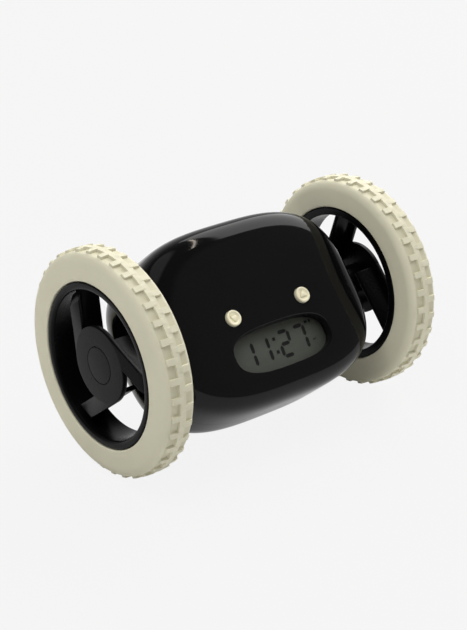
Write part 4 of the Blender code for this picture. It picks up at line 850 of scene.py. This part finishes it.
def rim(hand, angle):
    """One wheel's rim: hand is 1 or -1, as the arms lean, and angle is where the first one stands."""
    ring = turned([(RING_INNER, RIM_FACE, 0.0016), (RIM_RADIUS, RIM_FACE, 0.0006),
                   (RIM_RADIUS, -RIM_FACE, 0.0004), (RING_INNER, -RIM_FACE, 0.0005)], 128, ring=True)
    disc = turned([(0, PLATE_LOW, 0), (DISC_RADIUS, PLATE_LOW, 0.0002), (DISC_RADIUS, PLATE_TOP, 0.0005),
                   (0, PLATE_TOP, 0)], 96)
    steps = [("UNION", disc)]
    middle = DISC_RADIUS - ARM_WIDTH / 2
    length = math.sqrt((RING_INNER + RING_BITE) ** 2 - (middle - ARM_WIDTH / 2) ** 2)
    web_length = math.sqrt((RING_INNER + RING_BITE) ** 2 - middle ** 2)
    for number in range(3):
        turn = Matrix.Rotation(hand * math.radians(angle - 120 * number), 4, "Z")
        arm = block((0, hand * (middle - ARM_WIDTH / 2), PLATE_LOW + 2 * NUDGE),
                    (length, hand * (middle + ARM_WIDTH / 2 + NUDGE), PLATE_TOP - 1.5 * NUDGE), 0.0004)
        web = block((0.0005, hand * (middle - WEB_WIDTH / 2), WEB_LOW),
                    (web_length, hand * (middle + WEB_WIDTH / 2), WEB_TOP), 0.0003)
        for mesh in (arm, web):
            mesh.transform(turn)
            steps.append(("UNION", mesh))
    slope_end = RING_INNER + 1.5 * NUDGE
    slope = turned([(ARM_SLOPE_START, PLATE_TOP, 0), (ARM_SLOPE_START, RIM_FACE, 0),
                    (slope_end, RIM_FACE, 0), (slope_end, PLATE_TOP - ARM_SLOPE_DROP, 0)], 128, ring=True)
    boss = turned([(0, WEB_LOW, 0), (BOSS_RADIUS, WEB_LOW, 0.0004), (BOSS_RADIUS, WEB_TOP, 0),
                   (0, WEB_TOP, 0)], 64)
    socket_end = AXLE_END + FIT
    well = turned([(0, -0.012, 0), (AXLE_SOCKET, -0.012, 0), (AXLE_SOCKET, socket_end, 0),
                   (SCREW_HOLE, socket_end, 0), (SCREW_HOLE, HEAD_FLOOR, 0), (WELL_RADIUS, HEAD_FLOOR, 0),
                   (WELL_RADIUS, CAP_FLOOR, 0), (CAP_RADIUS + CAP_GAP, CAP_FLOOR, 0),
                   (CAP_RADIUS + CAP_GAP, PLATE_TOP - 0.00015, 0),
                   (CAP_RADIUS + CAP_MOUTH, PLATE_TOP + NUDGE, 0),
                   (CAP_RADIUS + CAP_MOUTH, PLATE_TOP + 0.001, 0), (0, PLATE_TOP + 0.001, 0)], 72)
    return shade(carve(ring, *steps, ("UNION", boss), ("DIFFERENCE", slope), ("DIFFERENCE", well)), 32)


rim_black = moulded("satin_black_abs", (0.0024, 0.0024, 0.0027), 0.27, 0.09, 2200.0, 0.000004)
for side, name, turn, angle in WHEELS:
    place = Matrix.Translation((side * WHEEL_X, 0, AXLE_HEIGHT)) @ turn
    piece(f"{name}_rim_moulding", rim(-side, angle), rim_black, f"{name}_wheel", [f"{name}_rim"],
          place)
    cap = turned([(0, PLATE_TOP - CAP_DEPTH, 0), (CAP_RADIUS, PLATE_TOP - CAP_DEPTH, 0.0001),
                  (CAP_RADIUS, PLATE_TOP, 0.00015), (0, PLATE_TOP, 0)], 96)
    piece(f"{name}_hub_cap_disc", shade(cap, 32), rim_black, f"{name}_wheel", [f"{name}_hub_cap"],
          place)
    piece(f"{name}_axle_screw_cross", screw(*WHEEL_SCREW), steel, f"{name}_wheel", [f"{name}_axle_screw"],
          place @ Matrix.Translation((0, 0, HEAD_FLOOR + FIT)))

# Axles and bushes: a ground steel pin pressed into each wheel, turning in a brass bush.
# The bush's flange bears on the inside of the housing's end and its nose shows outside it.
AXLE_RADIUS = 0.0020
AXLE_THREAD_END = -0.0048
BUSH_BORE = 0.00215
BUSH_RADIUS = 0.00405
BUSH_FLANGE = 0.00525
FLANGE_WIDTH = 0.0016
FLANGE_ROOM = 0.0008

brass = Finish("turned_brass", {"Metallic": 1.0})
ridges = brass.node("ShaderNodeTexWave", {"wave_type": "RINGS", "rings_direction": "Z"},
                    {"Vector": brass.place(), "Scale": 900.0, "Distortion": 1.5})
brass.wear(Base_Color=brass.blend(brass.noise(400.0), tone(190, 156, 96), tone(214, 182, 122)),
           Roughness=0.22 + ridges * 0.14)
brass.bump(ridges, 0.000005)
for side, name, turn, angle in WHEELS:
    low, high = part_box(f"{name}_axle")
    inner = side * (low[0] if side > 0 else high[0]) - WHEEL_X
    place = Matrix.Translation((side * WHEEL_X, 0, AXLE_HEIGHT)) @ turn
    pin = turned([(0, inner, 0), (AXLE_RADIUS, inner, 0.0002), (AXLE_RADIUS, AXLE_END, 0.0002),
                  (SCREW_HOLE, AXLE_END, 0), (SCREW_HOLE, AXLE_THREAD_END, 0), (0, AXLE_THREAD_END, 0)], 48)
    piece(f"{name}_axle_pin", shade(pin), steel, f"{name}_wheel", [f"{name}_axle"], place)
    low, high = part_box(f"{name}_axle_bush")
    nose, inner = sorted((abs(low[0]), abs(high[0])), reverse=True)
    around = np.concatenate([np.zeros((24, 1)), circle(BUSH_FLANGE, 24)], axis=1)
    sideways = np.array([[float(side), 0, 0]])
    seat = min(reach(point, sideways, WALL)[0] for point in around) - FLANGE_ROOM
    bush = turned([(BUSH_BORE, nose, 0.0002), (BUSH_RADIUS, nose, 0.0003), (BUSH_RADIUS, seat, 0),
                   (BUSH_FLANGE, seat, 0.0001), (BUSH_FLANGE, seat - FLANGE_WIDTH, 0.0001),
                   (BUSH_RADIUS, seat - FLANGE_WIDTH, 0), (BUSH_RADIUS, inner, 0.0002),
                   (BUSH_BORE, inner, 0.0002)], 48, ring=True)
    place = Matrix.Translation((0, 0, AXLE_HEIGHT)) @ turn
    piece(f"{name}_bush_sleeve", shade(bush), brass, "housing", [f"{name}_axle_bush"], place)

# Controls at the back: two small cream push buttons and a cream slider, all level with the floor.
# Each has a flange inside the shell that keeps it from falling out and a foot that meets its board.
STANDING = Matrix.Translation((0, 0, AXLE_HEIGHT + CONTROL_UP))
BACK_FACING = Matrix(((-1, 0, 0), (0, 0, 1), (0, 1, 0))).to_4x4()
PRESS_RADIUS = 0.0025
PRESS_FLANGE = 0.0033
CONTROL_FLANGE = 0.0008
CONTROL_ROOM = 0.0004
KNOB_HALF = (0.0020, 0.0013)
SLIDE_HALF = (0.0053, 0.0021)
SLIDE_TRAVEL = 0.0025
KNOB_GROOVES = (-0.0012, -0.0006, 0.0, 0.0006, 0.0012)
GROOVE_HALF = 0.00018
GROOVE_DEPTH = 0.00025


def wall_behind(x, half_width, half_height):
    """How far back a flange may reach before it meets the inside of the shell."""
    turn = Matrix.Rotation(FACE_TILT, 3, "X")
    straight_back = np.array([turn @ Vector((0, 1, 0))])
    corners = [turn @ Vector((x + a, 0, CONTROL_UP + b))
               for a in (-half_width, half_width) for b in (-half_height, half_height)]
    return min(reach(np.array(corner), straight_back, WALL)[0] for corner in corners) - CONTROL_ROOM


for name, x in (("set_button", CONTROL_X[0]), ("alarm_button", CONTROL_X[1])):
    low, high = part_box(name)
    top, foot = high[1], low[1]
    seat = wall_behind(x, PRESS_FLANGE, PRESS_FLANGE) - top
    profile = [(0, 0.00010, 0), (0.0016, 0.00004, 0.0003), (PRESS_RADIUS, -0.0001, 0.0004),
               (PRESS_RADIUS, seat, 0), (PRESS_FLANGE, seat, 0.0001),
               (PRESS_FLANGE, seat - CONTROL_FLANGE, 0.0001), (PRESS_RADIUS, seat - CONTROL_FLANGE, 0),
               (PRESS_RADIUS, foot - top, 0.0002), (0, foot - top, 0)]
    place = STANDING @ Matrix.Translation((x, top, 0)) @ BACK_FACING
    piece(f"{name}_cap", shade(turned(profile, 48)), eye_cream, name, [name], place)
low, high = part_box("mode_switch")
top, foot = high[1], low[1]
seat = wall_behind(SWITCH_X, SLIDE_HALF[0] + SLIDE_TRAVEL, SLIDE_HALF[1]) - top
knob = carve(block((-KNOB_HALF[0], foot - top, -KNOB_HALF[1]), (KNOB_HALF[0], 0, KNOB_HALF[1]), 0.0003),
             ("UNION", block((-SLIDE_HALF[0], seat - CONTROL_FLANGE, -SLIDE_HALF[1]),
                             (SLIDE_HALF[0], seat, SLIDE_HALF[1]), 0.0001)),
             *[("DIFFERENCE", block((x - GROOVE_HALF, -GROOVE_DEPTH, -0.002),
                                    (x + GROOVE_HALF, 0.001, 0.002))) for x in KNOB_GROOVES])
piece("mode_switch_knob", shade(knob), eye_cream, "mode_switch", ["mode_switch"],
      STANDING @ Matrix.Translation((SWITCH_X, top, 0)))

# Inner works: motors, gears, boards, cells and their contacts, as the CAD makes them.
# They show when the battery door is off, and each gets the finish of its own stock.
BAND_SHIFT = 0.004
BAND_HALF_PITCH = 0.0105
BAND_START = 0.0078


def finish_nodes(finish, *names):
    for name in names:
        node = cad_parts[name]
        node.data.materials.clear()
        node.data.materials.append(finish.material)


inner_black = moulded("matt_black_abs", (0.020, 0.020, 0.021), 0.48, 0.4, 1800.0, 0.000008)
gear_white = moulded("white_acetal", tone(226, 226, 218), 0.40, 0.5, 1800.0, 0.000004)
wrap = Finish("cell_wrap", {"Specular IOR Level": 0.5, "Coat Weight": 0.4})
run = wrap.node("ShaderNodeMath", {"operation": "PINGPONG"},
                {0: wrap.axis(0) + BAND_SHIFT, 1: BAND_HALF_PITCH})
band = run > BAND_START
wrap.wear(Base_Color=wrap.blend(band, tone(38, 62, 104), tone(176, 178, 176)), Roughness=0.26 + band * 0.1)
wrap.bump(wrap.noise(1400.0), 0.00001)
can = Finish("motor_can_steel", {"Metallic": 1.0})
drawn = can.node("ShaderNodeTexWave", {"bands_direction": "X"}, {"Vector": can.place(), "Scale": 700.0,
                                                                 "Distortion": 3.0})
can.wear(Base_Color=can.blend(can.noise(200.0), tone(180, 180, 178), tone(208, 208, 204)),
         Roughness=0.28 + drawn * 0.14)
can.bump(drawn, 0.000005)
board = Finish("solder_mask_green", {"Specular IOR Level": 0.5, "Coat Weight": 0.3})
tracks = board.node("ShaderNodeTexBrick", {"offset": 0.5, "squash": 1.0},
                    {"Vector": board.place(), "Scale": 260.0, "Mortar Size": 0.03}, 1)
board.wear(Base_Color=board.blend(tracks, tone(20, 84, 46), tone(44, 122, 70)),
           Roughness=0.32 + board.noise(800.0) * 0.12)
board.bump(tracks, 0.00003)
for side, name, turn, angle in WHEELS:
    finish_nodes(can, f"{name}_motor")
    finish_nodes(brass, f"{name}_motor_pinion")
    finish_nodes(gear_white, f"{name}_idler_gear", f"{name}_axle_gear")
    finish_nodes(steel, f"{name}_idler_pin")
    finish_nodes(inner_black, f"{name}_gear_frame", f"{name}_eye_switch")
finish_nodes(inner_black, "display_frame", "battery_tray", "clock_chip", "buzzer")
finish_nodes(board, "main_board", "control_board")
finish_nodes(wrap, *[f"battery_cell_{number}" for number in range(1, 5)])
finish_nodes(steel, "battery_contact_left", "battery_contact_right",
             *[f"battery_spring_{number}" for number in range(1, 5)])

# Studio: the clock stands on a pale sweep, lit by a softbox and a key high on its right and behind,
# with weak fills from the left and from above in front. Only the softbox and a narrow warm strip
# above it show in the gloss.
WHITE = 0.913
SEEN_SHARE = 0.965
GLOSS_SHARE = 0.5
FLOOR_HALF = 30
GLOW_DIRECTION = (0.64, 0.77, 0.0)
LAMP_TARGET = Vector((0, 0, 0.045))
CAMERA_PLACE = (-0.35523, -0.42738, 0.29797)
CAMERA_AZIMUTH = -39.58
CAMERA_ELEVATION = 24.40
CAMERA_LENS = 88.26


def stage_node(tree, kind, values, output=0):
    node = tree.nodes.new(kind)
    for key, value in values.items():
        if isinstance(value, bpy.types.NodeSocket):
            tree.links.new(value, node.inputs[key])
        else:
            node.inputs[key].default_value = value
    return node.outputs[output]


sweep = Finish("paper_sweep")
tree = sweep.tree
rays = tree.nodes.new("ShaderNodeLightPath")
camera_ray, glossy_ray, clear_ray = [Value(sweep, rays.outputs[f"Is {kind} Ray"])
                                     for kind in ("Camera", "Glossy", "Transmission")]
seen = (camera_ray + clear_ray) * SEEN_SHARE + glossy_ray * GLOSS_SHARE
sweep.wear(Base_Color=sweep.blend(sweep.noise(3.0), (0.76, 0.76, 0.76), (0.78, 0.78, 0.78)),
           Roughness=0.85 + sweep.noise(40.0) * 0.1)
sweep.shader.inputs["Specular IOR Level"].default_value = 0.0
glow = stage_node(tree, "ShaderNodeEmission", {"Color": (WHITE, WHITE, WHITE, 1), "Strength": 1.0})
mixed = stage_node(tree, "ShaderNodeMixShader", {0: seen.socket, 1: sweep.shader.outputs[0], 2: glow})
tree.links.new(mixed, tree.nodes["Material Output"].inputs["Surface"])
corners = [(a * FLOOR_HALF, b * FLOOR_HALF, 0) for a, b in ((-1, -1), (1, -1), (1, 1), (-1, 1))]
floor = bpy.data.objects.new("sweep_floor", mesh_from(corners, [(0, 1, 2, 3)]))
floor.data.materials.append(sweep.material)
bpy.context.collection.objects.link(floor)

world = bpy.data.worlds.new("studio")
bpy.context.scene.world = world
world.use_nodes = True
tree = world.node_tree
sky = tree.nodes.new("ShaderNodeTexCoord").outputs["Generated"]
upward = stage_node(tree, "ShaderNodeSeparateXYZ", {0: sky}, 2)
behind = stage_node(tree, "ShaderNodeVectorMath", {0: sky, 1: GLOW_DIRECTION}, 1)
behind.node.operation = "DOT_PRODUCT"


def sky_ramp(value, stops):
    ramp = tree.nodes.new("ShaderNodeValToRGB")
    while len(ramp.color_ramp.elements) < len(stops):
        ramp.color_ramp.elements.new(1)
    for element, (position, level) in zip(ramp.color_ramp.elements, stops):
        element.position = position
        element.color = (level, level, level, 1)
    tree.links.new(value, ramp.inputs[0])
    return ramp.outputs[0]


dome = sky_ramp(upward, ((0.0, 0.28), (0.74, 0.22), (0.79, 0.08), (0.92, 0.08), (0.95, 0.75)))
glowing = sky_ramp(behind, ((0.35, 0.0), (0.64, 0.18), (0.90, 0.52)))
level = stage_node(tree, "ShaderNodeMath", {0: dome, 1: glowing})
tree.links.new(level, tree.nodes["Background"].inputs["Strength"])
tree.nodes["Background"].inputs["Color"].default_value = (1, 1, 1, 1)


def direction(azimuth, elevation):
    """The way to a lamp or the camera: azimuth 0 is in front of the clock and 90 on its right."""
    a = math.radians(azimuth)
    e = math.radians(elevation)
    return Vector((math.sin(a) * math.cos(e), -math.cos(a) * math.cos(e), math.sin(e)))


def softbox(name, azimuth, elevation, distance, width, height, radiance, colour, shown=False):
    """A flat lamp aimed at the clock."""
    lamp = bpy.data.lights.new(name, "AREA")
    lamp.shape = "RECTANGLE"
    lamp.size = width
    lamp.size_y = height
    lamp.energy = radiance * math.pi * width * height
    lamp.color = colour
    item = bpy.data.objects.new(name, lamp)
    bpy.context.collection.objects.link(item)
    towards = direction(azimuth, elevation)
    item.location = LAMP_TARGET + towards * distance
    item.rotation_euler = towards.to_track_quat("Z", "Y").to_euler()
    item.visible_glossy = shown


softbox("gloss_softbox", 104, 40, 1.3, 1.05, 0.85, 3.0, (1.0, 0.99, 0.98), shown=True)
softbox("key", 122, 44, 1.3, 1.5, 0.60, 2.4, (1.0, 0.985, 0.96))
softbox("left_fill", -95, 66, 1.5, 1.2, 0.9, 3.1, (1.0, 1.0, 1.0))
softbox("top_fill", 15, 62, 1.5, 1.2, 1.2, 1.0, (1.0, 1.0, 1.0))
softbox("edge_strip", 93, 60.5, 1.3, 0.66, 0.016, 18.0, (1.0, 0.90, 0.78), shown=True)

camera = bpy.data.cameras.new("camera")
camera.sensor_width = 36
camera.lens = CAMERA_LENS
camera_item = bpy.data.objects.new("camera", camera)
bpy.context.collection.objects.link(camera_item)
back = direction(CAMERA_AZIMUTH, CAMERA_ELEVATION)
right = direction(CAMERA_AZIMUTH + 90, 0)
camera_item.matrix_world = (Matrix.Translation(CAMERA_PLACE)
                            @ Matrix((right, back.cross(right), back)).transposed().to_4x4())
bpy.context.scene.camera = camera_item
bpy.context.scene.view_settings.view_transform = "Standard"
